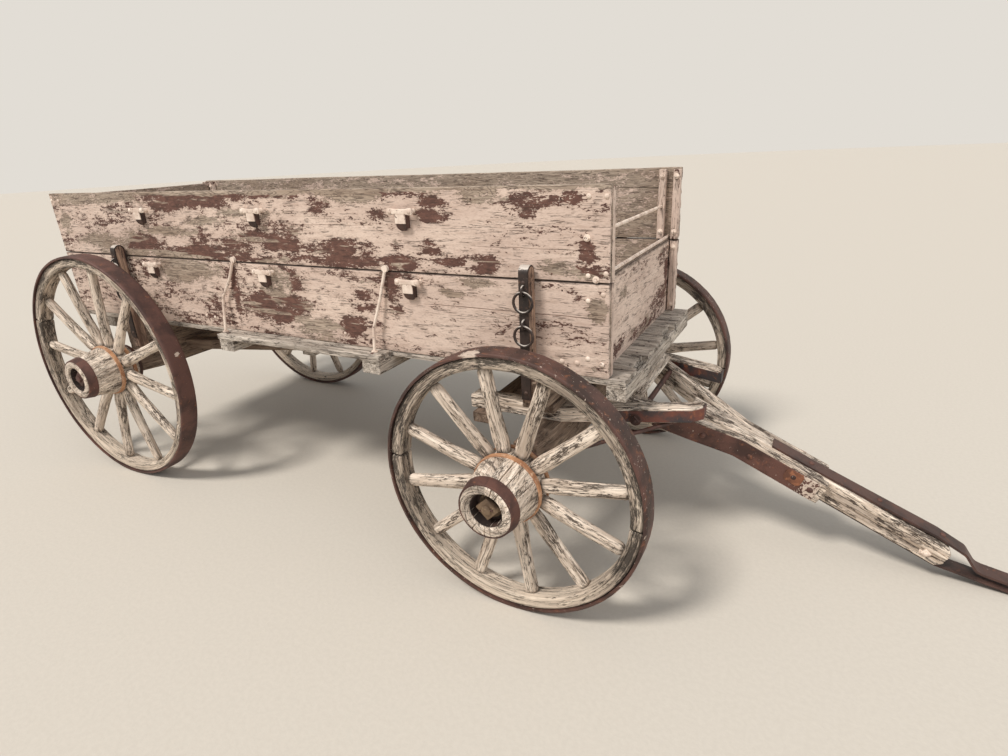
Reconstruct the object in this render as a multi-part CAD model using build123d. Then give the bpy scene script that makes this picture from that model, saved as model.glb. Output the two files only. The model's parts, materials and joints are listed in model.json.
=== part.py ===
from build123d import *
import math
import os

os.makedirs("parts", exist_ok=True)

# A farm box wagon used for hay, in millimetres. +X is forward, +Z is up, and
# all sub-parts are drawn from the ground point below the front axle.

# Driving dimensions of the box
BOX_LENGTH = 3216.0
BOX_WIDTH = 1018.0
BOX_FRONT = 262.0
LOWER_BOARD = 335.0
UPPER_BOARD = 315.0
BOARD_GAP = 4.0
BOARD_EDGE = 5.0
SIDE_THICK = 25.0
FLOOR_THICK = 24.0
FLOOR_BOARDS = 7
FLOOR_SEAM = 2.0
FLOOR_OVERHANG = 62.0
FLOOR_SHORT = 22.0
SILL_HEIGHT = 56.0
SILL_WIDTH = 72.0
GATE_THICK = 22.0
FRONT_GATE_RISE = 8.0
REAR_GATE_DROP = 14.0
REAR_GATE_LIFT = 0.5
CLEAT_THICK = 32.0
CLEAT_WIDTH = 26.0
CLEAT_GAP = 5.0
CLEAT_DROP = 6.0

# Driving dimensions of the wheels and axles
WHEELBASE = 2414.0
FRONT_RADIUS = 500.0
REAR_RADIUS = 604.0
FRONT_FACE = 834.0
REAR_FACE = 772.0
TYRE_WIDTH = 89.0
TYRE_THICK = 12.0
FELLOE_WIDTH = 74.0
FELLOE_DEPTH = 46.0
FELLOE_EDGE = 7.0
FELLOE_JOINT = 2.5
FELLOE_JOINT_AT = 90.0
SPOKES = 12
FRONT_WHEEL_TURN = 5.0
REAR_WHEEL_TURN = 23.5
SPOKE_AT_HUB = (60.0, 44.0)
SPOKE_AT_RIM = (50.0, 38.0)
SPOKE_LET_IN = 6.0
SPOKE_CORNER = 0.3
DISH = 14.0
AXLE_WIDTH = 98.0
AXLE_DEPTH = 128.0
AXLE_RISE_FRONT = 34.0
AXLE_DROP_REAR = 6.0
AXLE_END = 110.0
AXLE_SLOPE = 150.0

# Driving dimensions of a skein: its arm, collar and nut
SKEIN_RADIUS = 29.0
SKEIN_COLLAR = (50.0, 58.0)
SKEIN_COLLAR_LONG = 22.0
SKEIN_COLLAR_GAP = 4.0
SKEIN_OUT = 2.0
SKEIN_NUT = 43.0
SKEIN_NUT_LONG = 30.0
SKEIN_NUT_EDGE = 5.0
RUN_FIT = 0.05

# Driving dimensions of a hub, from its outer end inwards
HUB_LENGTH = 288.0
HUB_OUT = 138.0
HUB_NOSE = 96.0
HUB_SWELL = 126.0
HUB_WAIST = 108.0
HUB_TAIL = 96.0
HUB_SWELL_HALF = 44.0
HUB_WAIST_FROM_SPOKES = 66.0
HUB_CUP_RADIUS = 62.0
HUB_CUP_DEEP = 60.0
BAND_THICK = 5.0
BAND_OUTER = 46.0
BAND_INNER = 20.0
BAND_NARROW = 17.0

# Driving dimensions of the running gear
BOLSTER_WIDTH = 92.0
BOLSTER_DEPTH = 104.0
SAND_BOARD = 38.0
SAND_BOARD_EDGE = 12.0
SAND_BOARD_OUT = 96.0
TURN_GAP = 10.0
STAKE_WIDTH = 40.0
STAKE_THICK = 52.0
STAKE_RISE = 391.0
STAKE_GAP = 14.0
STAKE_TAPER = 8.0
STAKE_FOOT = 20.0
STAKE_IRON = 6.0
STAKE_IRON_EDGE = 2.0
STAKE_IRON_BACK = 60.0
STAKE_IRON_FOOT = 70.0
STAKE_EYES_DOWN = (80.0, 201.0)
EYE_RADIUS = 18.0
EYE_WIRE = 4.0
LOOSE_RING_RADIUS = 36.0
LOOSE_RING_WIRE = 5.0
RING_PLAY = 0.6
KING_RADIUS = 11.0
KING_BELOW = 26.0
KING_NUT = 22.0
KING_NUT_LONG = 12.0
REACH_WIDTH = 78.0
REACH_DEPTH = 44.0
REACH_THICKER = 18.0
REACH_SUNK = 34.0
REACH_HEAD = 70.0
REACH_BEND = 340.0
REACH_LEVEL = 300.0
REACH_TAIL = 330.0
REAR_HOUND_OUT = 250.0
REAR_HOUND_WIDTH = 68.0
REAR_HOUND_TIP = (54.0, 48.0)
REAR_HOUND_LONG = 860.0
REAR_HOUND_FLAT = 120.0
REAR_HOUND_DEPTH = 58.0
REAR_HOUND_DOWN = 12.0
HOUND_DEPTH = 58.0
HOUND_WIDTH = 74.0
HOUND_AXLE_Y = 400.0
HOUND_BEND = 50.0
HOUND_NOSE_X = 542.0
HOUND_NOSE_Y = 212.0
HOUND_NOSE_FLAT = 46.0
HOUND_NOSE_CUT = 34.0
HOUND_TAIL = 330.0
HOUND_TAIL_OUT = 26.0
HOUND_IRON = 5.0
HOUND_IRON_LOW = 5.0
HOUND_IRON_HIGH = 8.0
HOUND_IRON_FROM = 255.0
SWAY_BAR_LONG = 74.0
SWAY_BAR_DEEP = 46.0
SWAY_BAR_OUT = 74.0
SWAY_BAR_EDGE = 14.0
BRACE_RADIUS = 8.0
BRACE_ON_HOUND = 450.0
BRACE_ON_AXLE = 610.0
BRACE_GAP = 1.0

# Driving dimensions of the tongue, in its own line from the hinge pin
PIN_X = 320.0
PIN_RISE = 22.0
PIN_RADIUS = 11.0
PIN_OUT = 26.0
ARM_WIDTH = 46.0
ARM_TOP = 26.0
ARM_DEPTH = 88.0
ARM_REAR = 86.0
ARM_END = 740.0
ARM_IRON = 6.0
ARM_IRON_FROM = 60.0
ARM_IRON_IN = (6.0, 4.0)
MOVING_GAP = 6.0
POLE_WIDTH = 96.0
POLE_START = 150.0
POLE_END = 1218.0
POLE_NOSE_HEIGHT = 118.0
POLE_NOSE_EDGE = 20.0
CROSS_PIECE = (78.0, 28.0)
CROSS_PIECE_THICK = 22.0
CROSS_PIECE_IN = 12.0
STRAP_THICK = 9.0
STRAP_WIDTH = 72.0
STRAP_SIDE = 5.0
STRAP_START = 500.0
LOWER_STRAP_START = 580.0
STRAP_LEVEL = 160.0
STRAP_LIFT = 9.0
STRAP_LIFT_BACK = 70.0
STRAP_CREST = (38.0, 0.0)
STRAP_DIP = (122.0, 150.0)
STRAP_BEND = 36.0
HITCH_REACH = 300.0
HITCH_GAP = 20.0
HITCH_AHEAD_OF_CUT = 6.0
HITCH_HOLE = 13.0
HITCH_HOLE_BACK = 42.0

# Driving dimensions of the fittings on the box
STAPLE_BEHIND_FRONT = 548.0
STAPLE_AHEAD_REAR = 255.0
STAPLE_BAR_LONG = 112.0
STAPLE_BAR_HIGH = 22.0
STAPLE_IRON = 8.0
STAPLE_EAR = 20.0
STAPLE_STANDS_OFF = 22.0
STAPLE_POCKET_WIDE = 62.0
STAPLE_POCKET_DEEP = 62.0
STAPLE_DROP_LOWER = 20.0
STAPLE_DROP_UPPER = 72.0
TIE_RADIUS = 7.0
TIE_OUT = 10.0
TIE_UP_BOARD = 148.0
HOLE_PLAY = 0.5
STEP_BEHIND_FRONT = 682.0
STEP_AHEAD_REAR = 740.0
STEP_THICK = 26.0
STEP_REACH = 88.0
STEP_GAP = 4.0
STEP_SILL_WIDTH = 92.0
STEP_SILL_IN = 8.0
ROD_RADIUS = 6.5
ROD_BEND = 39.0
ROD_WASHER = 5.0
ROD_EYE_RADIUS = 14.0
ROD_EYE_UP = 348.0
ROD_KNEES = ((28.0, 74.0, 33.0, 100.0), (14.0, 108.0, 43.0, 166.0))
ROD_FOOT_OUT = 46.0
ROD_FRONT_IN = 56.0
ROD_REAR_IN = 16.0

# Places worked out from the driving dimensions
BOX_REAR = BOX_FRONT - BOX_LENGTH
HALF_BOX = BOX_WIDTH / 2
INNER_SIDE = HALF_BOX - SIDE_THICK
FRONT_AXLE_TOP = FRONT_RADIUS + AXLE_DEPTH / 2 + AXLE_RISE_FRONT
REAR_AXLE_TOP = REAR_RADIUS + AXLE_DEPTH / 2 - AXLE_DROP_REAR
HOUND_FOOT = FRONT_AXLE_TOP
HOUND_TOP = HOUND_FOOT + HOUND_DEPTH
BOLSTER_FOOT = HOUND_TOP + SAND_BOARD + TURN_GAP
SILL_TOP = BOLSTER_FOOT + BOLSTER_DEPTH
FLOOR_TOP = SILL_TOP + FLOOR_THICK
LOWER_TOP = FLOOR_TOP + LOWER_BOARD
UPPER_FOOT = LOWER_TOP + BOARD_GAP
UPPER_TOP = UPPER_FOOT + UPPER_BOARD
STAKE_TOP = FLOOR_TOP + STAKE_RISE
STAKE_INNER = HALF_BOX + STAKE_GAP
STAKE_OUTER = STAKE_INNER + STAKE_THICK
STAKE_ROUND = (STAKE_THICK - STAKE_TAPER) / 2
STAKE_SPRING = STAKE_TOP - STAKE_ROUND
STAKE_FROM_AXLE = (BOLSTER_WIDTH - STAKE_WIDTH) / 2
CLEAT_FROM_GATE = GATE_THICK / 2 + CLEAT_GAP + CLEAT_THICK / 2
FRONT_GATE_X = BOX_FRONT - CLEAT_FROM_GATE - CLEAT_THICK / 2
REAR_GATE_X = BOX_REAR + CLEAT_FROM_GATE + CLEAT_THICK / 2
FRONT_INNER = FRONT_GATE_X - CLEAT_FROM_GATE - CLEAT_THICK / 2
REAR_INNER = REAR_GATE_X + CLEAT_FROM_GATE + CLEAT_THICK / 2
STEP_FRONT = -STEP_BEHIND_FRONT
STEP_REAR = STEP_AHEAD_REAR - WHEELBASE
STEP_OUTER = -HALF_BOX - STEP_REACH
STEP_TOP = SILL_TOP + STEP_THICK
REACH_FOOT = REAR_AXLE_TOP - REACH_SUNK
REACH_TOP = REACH_FOOT + REACH_DEPTH + REACH_THICKER
SPOKE_LINE = HUB_OUT + TYRE_WIDTH / 2 + DISH
PIN_Z = HOUND_FOOT + PIN_RISE
HOUND_SLOPE = (HOUND_NOSE_Y - HOUND_AXLE_Y) / (HOUND_NOSE_X - HOUND_BEND)
ARM_GAP = HOUND_IRON + MOVING_GAP + ARM_IRON
ARM_FOOT = ARM_TOP - ARM_DEPTH
POLE_DIP = math.degrees(math.asin((PIN_Z - POLE_NOSE_HEIGHT) / POLE_END))
HITCH_FOOT = ARM_FOOT - STRAP_THICK
HITCH_BEND = POLE_END - POLE_NOSE_EDGE + HITCH_AHEAD_OF_CUT


def block(x0, x1, y0, y1, z0, z1):
    """A plain cuboid between two corners."""
    return Pos((x0 + x1) / 2, (y0 + y1) / 2, (z0 + z1) / 2) * Box(
        abs(x1 - x0), abs(y1 - y0), abs(z1 - z0)
    )


def bar_in_plan(points, z0, z1):
    """A flat bar of any outline seen from above."""
    return extrude(Plane.XY.offset(z0) * make_face(Polyline(*points, close=True)), z1 - z0)


def bar_in_side(points, y0, y1):
    """A flat bar of any outline seen from the near side, X across and Z up."""
    face = Plane.XZ.offset(-y0) * make_face(Polyline(*points, close=True))
    return extrude(face, y0 - y1)


def bent_strap(points, y0, y1, bend):
    """A flat strap from its outline in side view, with its bends rounded, from y0 to y1."""
    outline = Plane.XZ.offset(-y0) * make_face(Polyline(*points, close=True))
    rear = outline.bounding_box().min.X
    front = outline.bounding_box().max.X
    bends = [v for v in outline.vertices() if rear + bend < v.X < front - bend]
    return extrude(fillet(bends, bend), y0 - y1)


def bent_rod(points, radius, bend):
    """A round rod along straight runs, with a bend of its own radius at each corner."""
    path = FilletPolyline(*points, radius=bend)
    start = Plane(origin=path @ 0, z_dir=path % 0)
    return sweep(start * Circle(radius), path=path)


def bolt_bar(start, end, radius):
    """A straight round bar between two points."""
    axis = Vector(*end) - Vector(*start)
    return Plane(origin=start, z_dir=axis) * Cylinder(
        radius, axis.length, align=(Align.CENTER, Align.CENTER, Align.MIN)
    )


def mirrored(shape):
    """The same piece on the other side of the wagon."""
    return mirror(shape, about=Plane.XZ)


def both(shape):
    """A piece and its mirror image."""
    return Compound(children=[shape, mirrored(shape)])


def ring(outer, inner, y0, y1):
    """A flat ring round the Y axis."""
    face = Plane.XZ.offset(-y0) * (Circle(outer) - Circle(inner))
    return extrude(face, y0 - y1)


# Wheels


def hub_profile():
    """Radius of the hub against the distance from its outer end."""
    return [
        (0.0, HUB_NOSE),
        (SPOKE_LINE - HUB_SWELL_HALF, HUB_SWELL),
        (SPOKE_LINE + HUB_SWELL_HALF, HUB_SWELL),
        (SPOKE_LINE + HUB_WAIST_FROM_SPOKES, HUB_WAIST),
        (HUB_LENGTH, HUB_TAIL),
    ]


def hub_radius(distance):
    """The hub's radius anywhere along its length."""
    points = hub_profile()
    for (a, ra), (b, rb) in zip(points, points[1:]):
        if a <= distance <= b:
            return ra + (rb - ra) * (distance - a) / (b - a)
    return points[-1][1]


def hub_bands():
    """Where each of the four iron bands starts and ends along the hub."""
    before = SPOKE_LINE - HUB_SWELL_HALF
    behind = SPOKE_LINE + HUB_SWELL_HALF
    return [
        (0.0, BAND_OUTER),
        (before, before + BAND_NARROW),
        (behind - BAND_NARROW, behind),
        (HUB_LENGTH - BAND_INNER, HUB_LENGTH),
    ]


def band_ring(start, end):
    """One hub band: it follows the taper of the wood inside it."""
    stations = [start] + [d for d, r in hub_profile() if start < d < end] + [end]
    inner = [(hub_radius(d), d) for d in stations]
    outer = [(hub_radius(d) + BAND_THICK, d) for d in stations]
    face = make_face(Polyline(*inner, *reversed(outer), close=True))
    return Rot(-90, 0, 0) * revolve(Plane.XZ * face, Axis.Z)


def hub_solid(bore):
    """The turned wooden hub, solid or with a bore along its axis."""
    outline = [(bore, 0.0)] + [(r, d) for d, r in hub_profile()] + [(bore, HUB_LENGTH)]
    return Rot(-90, 0, 0) * revolve(Plane.XZ * make_face(Polyline(*outline, close=True)), Axis.Z)


def spoke_section(plane, size):
    """An eight-sided section of a spoke, its corners cut off by a share of its size."""
    wide, deep = size
    w = wide / 2
    d = deep / 2
    cx = wide * SPOKE_CORNER
    cy = deep * SPOKE_CORNER
    quarter = [(w, d - cy), (w - cx, d)]
    half = quarter + [(-x, y) for x, y in reversed(quarter)]
    points = half + [(-x, -y) for x, y in half]
    return plane * make_face(Polyline(*points, close=True))


def wheel_pieces(radius):
    """The five sub-parts of one wheel, its hub's outer end at the origin, axis along +Y."""
    hub = hub_solid(SKEIN_RADIUS + RUN_FIT)
    hub -= ring(HUB_CUP_RADIUS, SKEIN_RADIUS, 0.0, HUB_CUP_DEEP)

    rim_outer = radius - TYRE_THICK
    rim_inner = rim_outer - FELLOE_DEPTH
    rim_y = HUB_OUT + TYRE_WIDTH / 2
    blank = ring(rim_outer, rim_inner, rim_y - FELLOE_WIDTH / 2, rim_y + FELLOE_WIDTH / 2)
    inner_edges = blank.edges().filter_by(GeomType.CIRCLE).sort_by(lambda e: e.radius)[:2]
    joint = block(-FELLOE_JOINT / 2, FELLOE_JOINT / 2, 0, HUB_LENGTH, -radius, radius)
    rim = chamfer(inner_edges, FELLOE_EDGE) - Rot(0, FELLOE_JOINT_AT, 0) * joint

    root = Plane(origin=(0, rim_y + DISH, HUB_SWELL / 2), z_dir=(0, 0, 1))
    tip = Plane(origin=(0, rim_y, rim_inner + SPOKE_LET_IN), z_dir=(0, 0, 1))
    sections = [spoke_section(root, SPOKE_AT_HUB), spoke_section(tip, SPOKE_AT_RIM)]
    spoke = loft(sections, ruled=True) - hub_solid(0.0) - blank
    step = 360 / SPOKES
    spokes = Compound(children=[Rot(0, step * (i + 0.5), 0) * spoke for i in range(SPOKES)])
    tyre = ring(radius, rim_outer, HUB_OUT, HUB_OUT + TYRE_WIDTH)
    bands = Compound(children=[band_ring(a, b) for a, b in hub_bands()])
    return {"hub": hub, "rim": rim, "spokes": spokes, "tyre": tyre, "hub_bands": bands}


def add_wheels(nodes):
    """Four wheels: each stands with its hub's outer end out from its tyre's face."""
    for end, x, radius, face, turn in (
        ("front", 0.0, FRONT_RADIUS, FRONT_FACE, FRONT_WHEEL_TURN),
        ("rear", -WHEELBASE, REAR_RADIUS, REAR_FACE, REAR_WHEEL_TURN),
    ):
        pieces = wheel_pieces(radius)
        for name, shape in pieces.items():
            right = Pos(x, -(face + HUB_OUT), radius) * Rot(0, turn, 0) * shape
            nodes[f"wheel_{end}_right_{name}"] = right
            nodes[f"wheel_{end}_left_{name}"] = mirrored(right)


# Running gear


def axle_beam(x, radius, face, top):
    """A wooden axle with its underside cut up towards the ends."""
    end = face + HUB_OUT - HUB_LENGTH - SKEIN_COLLAR_LONG - SKEIN_COLLAR_GAP
    foot = radius - AXLE_DEPTH / 2
    points = [
        (-end, top),
        (end, top),
        (end, top - AXLE_END),
        (end - AXLE_SLOPE, foot),
        (AXLE_SLOPE - end, foot),
        (-end, top - AXLE_END),
    ]
    side = Plane.YZ.offset(x - AXLE_WIDTH / 2) * make_face(Polyline(*points, close=True))
    return extrude(side, AXLE_WIDTH)


def skein(x, radius, face):
    """The right-hand skein: a flared collar on the wood, the arm and its hex nut."""
    end = face + HUB_OUT - HUB_CUP_DEEP + SKEIN_OUT
    collar_to = face + HUB_OUT - HUB_LENGTH - SKEIN_COLLAR_GAP
    collar_from = collar_to - SKEIN_COLLAR_LONG
    collar_small, collar_large = SKEIN_COLLAR
    profile = [
        (0.0, collar_from),
        (collar_small, collar_from),
        (collar_large, collar_to),
        (SKEIN_RADIUS, collar_to),
        (SKEIN_RADIUS, end),
        (0.0, end),
    ]
    arm = revolve(Plane.XZ * make_face(Polyline(*profile, close=True)), Axis.Z)
    nut = Pos(0, 0, end) * extrude(RegularPolygon(SKEIN_NUT, 6), SKEIN_NUT_LONG)
    nut = chamfer(nut.faces().sort_by(Axis.Z)[-1].edges(), SKEIN_NUT_EDGE)
    return Pos(x, 0, radius) * Rot(90, 0, 0) * (arm + nut)


def add_front_gear(nodes):
    """All that turns about the king bolt, apart from the wheels and the tongue."""
    king_hole = Pos(0, 0, FRONT_RADIUS) * Cylinder(KING_RADIUS + RUN_FIT, BOX_WIDTH)
    nodes["front_axle"] = axle_beam(0, FRONT_RADIUS, FRONT_FACE, FRONT_AXLE_TOP) - king_hole
    nodes["front_skeins"] = both(skein(0, FRONT_RADIUS, FRONT_FACE))

    half = HOUND_AXLE_Y + SAND_BOARD_OUT
    sand = block(-BOLSTER_WIDTH / 2, BOLSTER_WIDTH / 2, -half, half, HOUND_TOP, HOUND_TOP + SAND_BOARD)
    nodes["sand_board"] = chamfer(sand.edges().filter_by(Axis.X), SAND_BOARD_EDGE) - king_hole

    nodes["front_hounds"] = both(mirrored(hound()))
    nodes["hound_irons"] = both(mirrored(hound_iron()))

    half = HOUND_AXLE_Y + SWAY_BAR_OUT
    sway = block(
        -HOUND_TAIL, SWAY_BAR_LONG - HOUND_TAIL, -half, half, HOUND_FOOT - SWAY_BAR_DEEP, HOUND_FOOT
    )
    nodes["sway_bar"] = chamfer(sway.edges().filter_by(Axis.Z), SWAY_BAR_EDGE)

    below = BRACE_RADIUS + BRACE_GAP
    on_hound = (BRACE_ON_HOUND, hound_inner(BRACE_ON_HOUND) + HOUND_WIDTH / 2, HOUND_FOOT - below)
    on_axle = (AXLE_WIDTH / 2 + below, BRACE_ON_AXLE, FRONT_RADIUS + SKEIN_RADIUS)
    nodes["front_braces"] = both(bolt_bar(on_hound, on_axle, BRACE_RADIUS))

    reach_out = hound_inner(PIN_X) + HOUND_WIDTH + PIN_OUT
    nodes["hinge_rod"] = bolt_bar((PIN_X, -reach_out, PIN_Z), (PIN_X, reach_out, PIN_Z), PIN_RADIUS)


def hound_inner(x):
    """How far a hound's inner face is from the wagon's centre line."""
    return HOUND_AXLE_Y - HOUND_WIDTH / 2 + HOUND_SLOPE * max(0.0, x - HOUND_BEND)


def hound():
    """The left front hound, a bent flat bar with a nose cut back on the outside."""
    tail = -HOUND_TAIL - HOUND_TAIL_OUT
    nose = hound_inner(HOUND_NOSE_X)
    points = [
        (tail, hound_inner(tail)),
        (HOUND_BEND, hound_inner(HOUND_BEND)),
        (HOUND_NOSE_X, nose),
        (HOUND_NOSE_X, nose + HOUND_NOSE_FLAT),
        (HOUND_NOSE_X - HOUND_NOSE_CUT, hound_inner(HOUND_NOSE_X - HOUND_NOSE_CUT) + HOUND_WIDTH),
        (HOUND_BEND, hound_inner(HOUND_BEND) + HOUND_WIDTH),
        (tail, hound_inner(tail) + HOUND_WIDTH),
    ]
    return bar_in_plan(points, HOUND_FOOT, HOUND_TOP) - pin_hole(PIN_RADIUS)


def hound_iron():
    """The strap that wraps the left hound's nose and runs back on both faces."""
    nose = hound_inner(HOUND_NOSE_X)
    start = hound_inner(HOUND_IRON_FROM)
    cut = HOUND_NOSE_X - HOUND_NOSE_CUT
    points = [
        (HOUND_IRON_FROM, start - HOUND_IRON),
        (HOUND_NOSE_X + HOUND_IRON, nose - HOUND_IRON),
        (HOUND_NOSE_X + HOUND_IRON, nose + HOUND_NOSE_FLAT),
        (cut, hound_inner(cut) + HOUND_WIDTH + HOUND_IRON),
        (HOUND_IRON_FROM, start + HOUND_WIDTH + HOUND_IRON),
    ]
    shell = bar_in_plan(points, HOUND_FOOT + HOUND_IRON_LOW, HOUND_TOP - HOUND_IRON_HIGH)
    return shell - hound() - pin_hole(PIN_RADIUS)


def pin_hole(radius):
    """What a round hole across the wagon on the hinge pin's line takes away."""
    return Pos(PIN_X, 0, PIN_Z) * Rot(90, 0, 0) * Cylinder(radius, BOX_WIDTH)


def add_rear_gear(nodes):
    """Rear axle, its skeins, the reach, the rear hounds and both bolsters."""
    nodes["reach"] = reach_bar()
    tail = reach_tail()
    nodes["rear_axle"] = axle_beam(-WHEELBASE, REAR_RADIUS, REAR_FACE, REAR_AXLE_TOP) - tail
    nodes["rear_skeins"] = both(skein(-WHEELBASE, REAR_RADIUS, REAR_FACE))
    nodes["rear_hounds"] = both(rear_hound())

    axle_foot = FRONT_RADIUS - AXLE_DEPTH / 2
    king = bolt_bar((0, 0, axle_foot - KING_BELOW), (0, 0, SILL_TOP), KING_RADIUS)
    nut_at = axle_foot - KING_BELOW / 2 - KING_NUT_LONG / 2
    nodes["king_bolt"] = king + Pos(0, 0, nut_at) * extrude(RegularPolygon(KING_NUT, 4), KING_NUT_LONG)

    wide = BOLSTER_WIDTH / 2
    front = block(-wide, wide, -STAKE_OUTER, STAKE_OUTER, BOLSTER_FOOT, SILL_TOP)
    front -= Pos(0, 0, BOLSTER_FOOT) * Cylinder(KING_RADIUS, BOX_WIDTH)
    rear = block(
        -WHEELBASE - wide, -WHEELBASE + wide, -STAKE_OUTER, STAKE_OUTER, REAR_AXLE_TOP, SILL_TOP
    )
    places = ((-STAKE_FROM_AXLE, BOLSTER_FOOT), (STAKE_FROM_AXLE - WHEELBASE, REAR_AXLE_TOP))
    pairs = [stakes_at(x, foot) for x, foot in places]
    nodes["front_bolster"] = front - pairs[0]
    nodes["rear_bolster"] = rear - tail - pairs[1]
    nodes["stakes"] = Compound(children=[s for pair in pairs for s in pair.solids()])
    irons = [stake_irons(x, foot) for x, foot in places]
    nodes["stake_irons"] = Compound(children=[s for pair in irons for s in pair.solids()])
    rings = [stake_rings(x) for x, foot in places]
    nodes["stake_rings"] = Compound(children=[s for pair in rings for s in pair.solids()])


def rear_hound():
    """The left rear hound, from the axle's front face in to the reach's side."""
    axle_face = AXLE_WIDTH / 2 - WHEELBASE
    tip = REAR_HOUND_LONG - WHEELBASE
    reach_side = REACH_WIDTH / 2
    wide, narrow = REAR_HOUND_TIP
    points = [
        (axle_face, REAR_HOUND_OUT),
        (axle_face, REAR_HOUND_OUT + REAR_HOUND_WIDTH),
        (tip - REAR_HOUND_FLAT / 2, reach_side + wide),
        (tip, reach_side + narrow),
        (tip, reach_side),
        (tip - REAR_HOUND_FLAT, reach_side),
    ]
    top = REAR_AXLE_TOP - REAR_HOUND_DOWN
    return bar_in_plan(points, top - REAR_HOUND_DEPTH, top)


def reach_tail():
    """The straight rear stretch of the reach, as the axle and bolster are notched for it."""
    wide = REACH_WIDTH / 2
    return block(
        REACH_LEVEL - WHEELBASE, -WHEELBASE - REACH_TAIL, -wide, wide, REACH_FOOT, REACH_TOP
    )


def reach_bar():
    """The long pole under the box, from the king bolt out behind the rear axle."""
    foot = HOUND_FOOT + (HOUND_DEPTH - REACH_DEPTH) / 2
    level = REACH_LEVEL - WHEELBASE
    end = -WHEELBASE - REACH_TAIL
    points = [
        (REACH_HEAD, foot),
        (REACH_HEAD, foot + REACH_DEPTH),
        (-REACH_BEND, foot + REACH_DEPTH),
        (level, REACH_TOP),
        (end, REACH_TOP),
        (end, REACH_FOOT),
        (level, REACH_FOOT),
        (-REACH_BEND, foot),
    ]
    bar = bar_in_side(points, -REACH_WIDTH / 2, REACH_WIDTH / 2)
    return bar - Pos(0, 0, foot) * Cylinder(KING_RADIUS, BOX_WIDTH)


def upright(x, width, points, top):
    """A bar standing across the wagon's line, with a half-round top over its end points."""
    crown = ThreePointArc(points[-1], (STAKE_INNER + STAKE_ROUND, top), points[0])
    outline = Plane.YZ.offset(x - width / 2) * make_face([*Polyline(*points).edges(), crown])
    return extrude(outline, width)


def stakes_at(x, foot):
    """The two upright stakes let into a bolster's ends, tapered towards a round top."""
    points = [
        (STAKE_INNER, STAKE_SPRING),
        (STAKE_INNER, foot + STAKE_FOOT),
        (STAKE_OUTER, foot + STAKE_FOOT),
        (STAKE_OUTER, SILL_TOP),
        (STAKE_OUTER - STAKE_TAPER, STAKE_SPRING),
    ]
    return both(mirrored(upright(x, STAKE_WIDTH, points, STAKE_TOP)))


def stake_face(z):
    """How far out the stake's iron stands at a height, above the bolster."""
    slope = STAKE_TAPER / (STAKE_SPRING - SILL_TOP)
    return STAKE_OUTER + STAKE_IRON - slope * max(0.0, z - SILL_TOP)


def stake_irons(x, foot):
    """The iron on the outside of each stake at x, bent over its top, with its two eyes."""
    low = SILL_TOP - STAKE_IRON_FOOT
    back = STAKE_SPRING - STAKE_IRON_BACK
    points = [
        (STAKE_INNER - STAKE_IRON, STAKE_SPRING),
        (STAKE_INNER - STAKE_IRON, back),
        (STAKE_INNER, back),
        (STAKE_OUTER, SILL_TOP),
        (STAKE_OUTER, low),
        (STAKE_OUTER + STAKE_IRON, low),
        (STAKE_OUTER + STAKE_IRON, SILL_TOP),
        (STAKE_OUTER - STAKE_TAPER + STAKE_IRON, STAKE_SPRING),
    ]
    wide = STAKE_WIDTH - 2 * STAKE_IRON_EDGE
    wood = stakes_at(x, foot)
    strap = mirrored(upright(x, wide, points, STAKE_TOP + STAKE_IRON)) - wood
    for down in STAKE_EYES_DOWN:
        z = STAKE_TOP - down
        face = stake_face(z)
        eye = Pos(x, -face, z) * Rot(0, 90, 0) * Torus(EYE_RADIUS, EYE_WIRE)
        strap += split(eye, Plane.XZ.offset(face - STAKE_IRON / 2), keep=Keep.TOP)
    return both(strap)


def stake_rings(x):
    """The loose ring that hangs in each eye, flat against the stake's iron."""
    rings = []
    room = EYE_RADIUS - EYE_WIRE - LOOSE_RING_WIRE - RING_PLAY
    for down in STAKE_EYES_DOWN:
        z = STAKE_TOP - down
        out = stake_face(z - 2 * LOOSE_RING_RADIUS - room) + LOOSE_RING_WIRE + RING_PLAY
        off = out - stake_face(z)
        hang = z - LOOSE_RING_RADIUS - math.sqrt(max(0.0, room**2 - off**2))
        rings.append(Pos(x, out, hang) * Rot(90, 0, 0) * Torus(LOOSE_RING_RADIUS, LOOSE_RING_WIRE))
    return both(Compound(children=rings))


# Box


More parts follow.
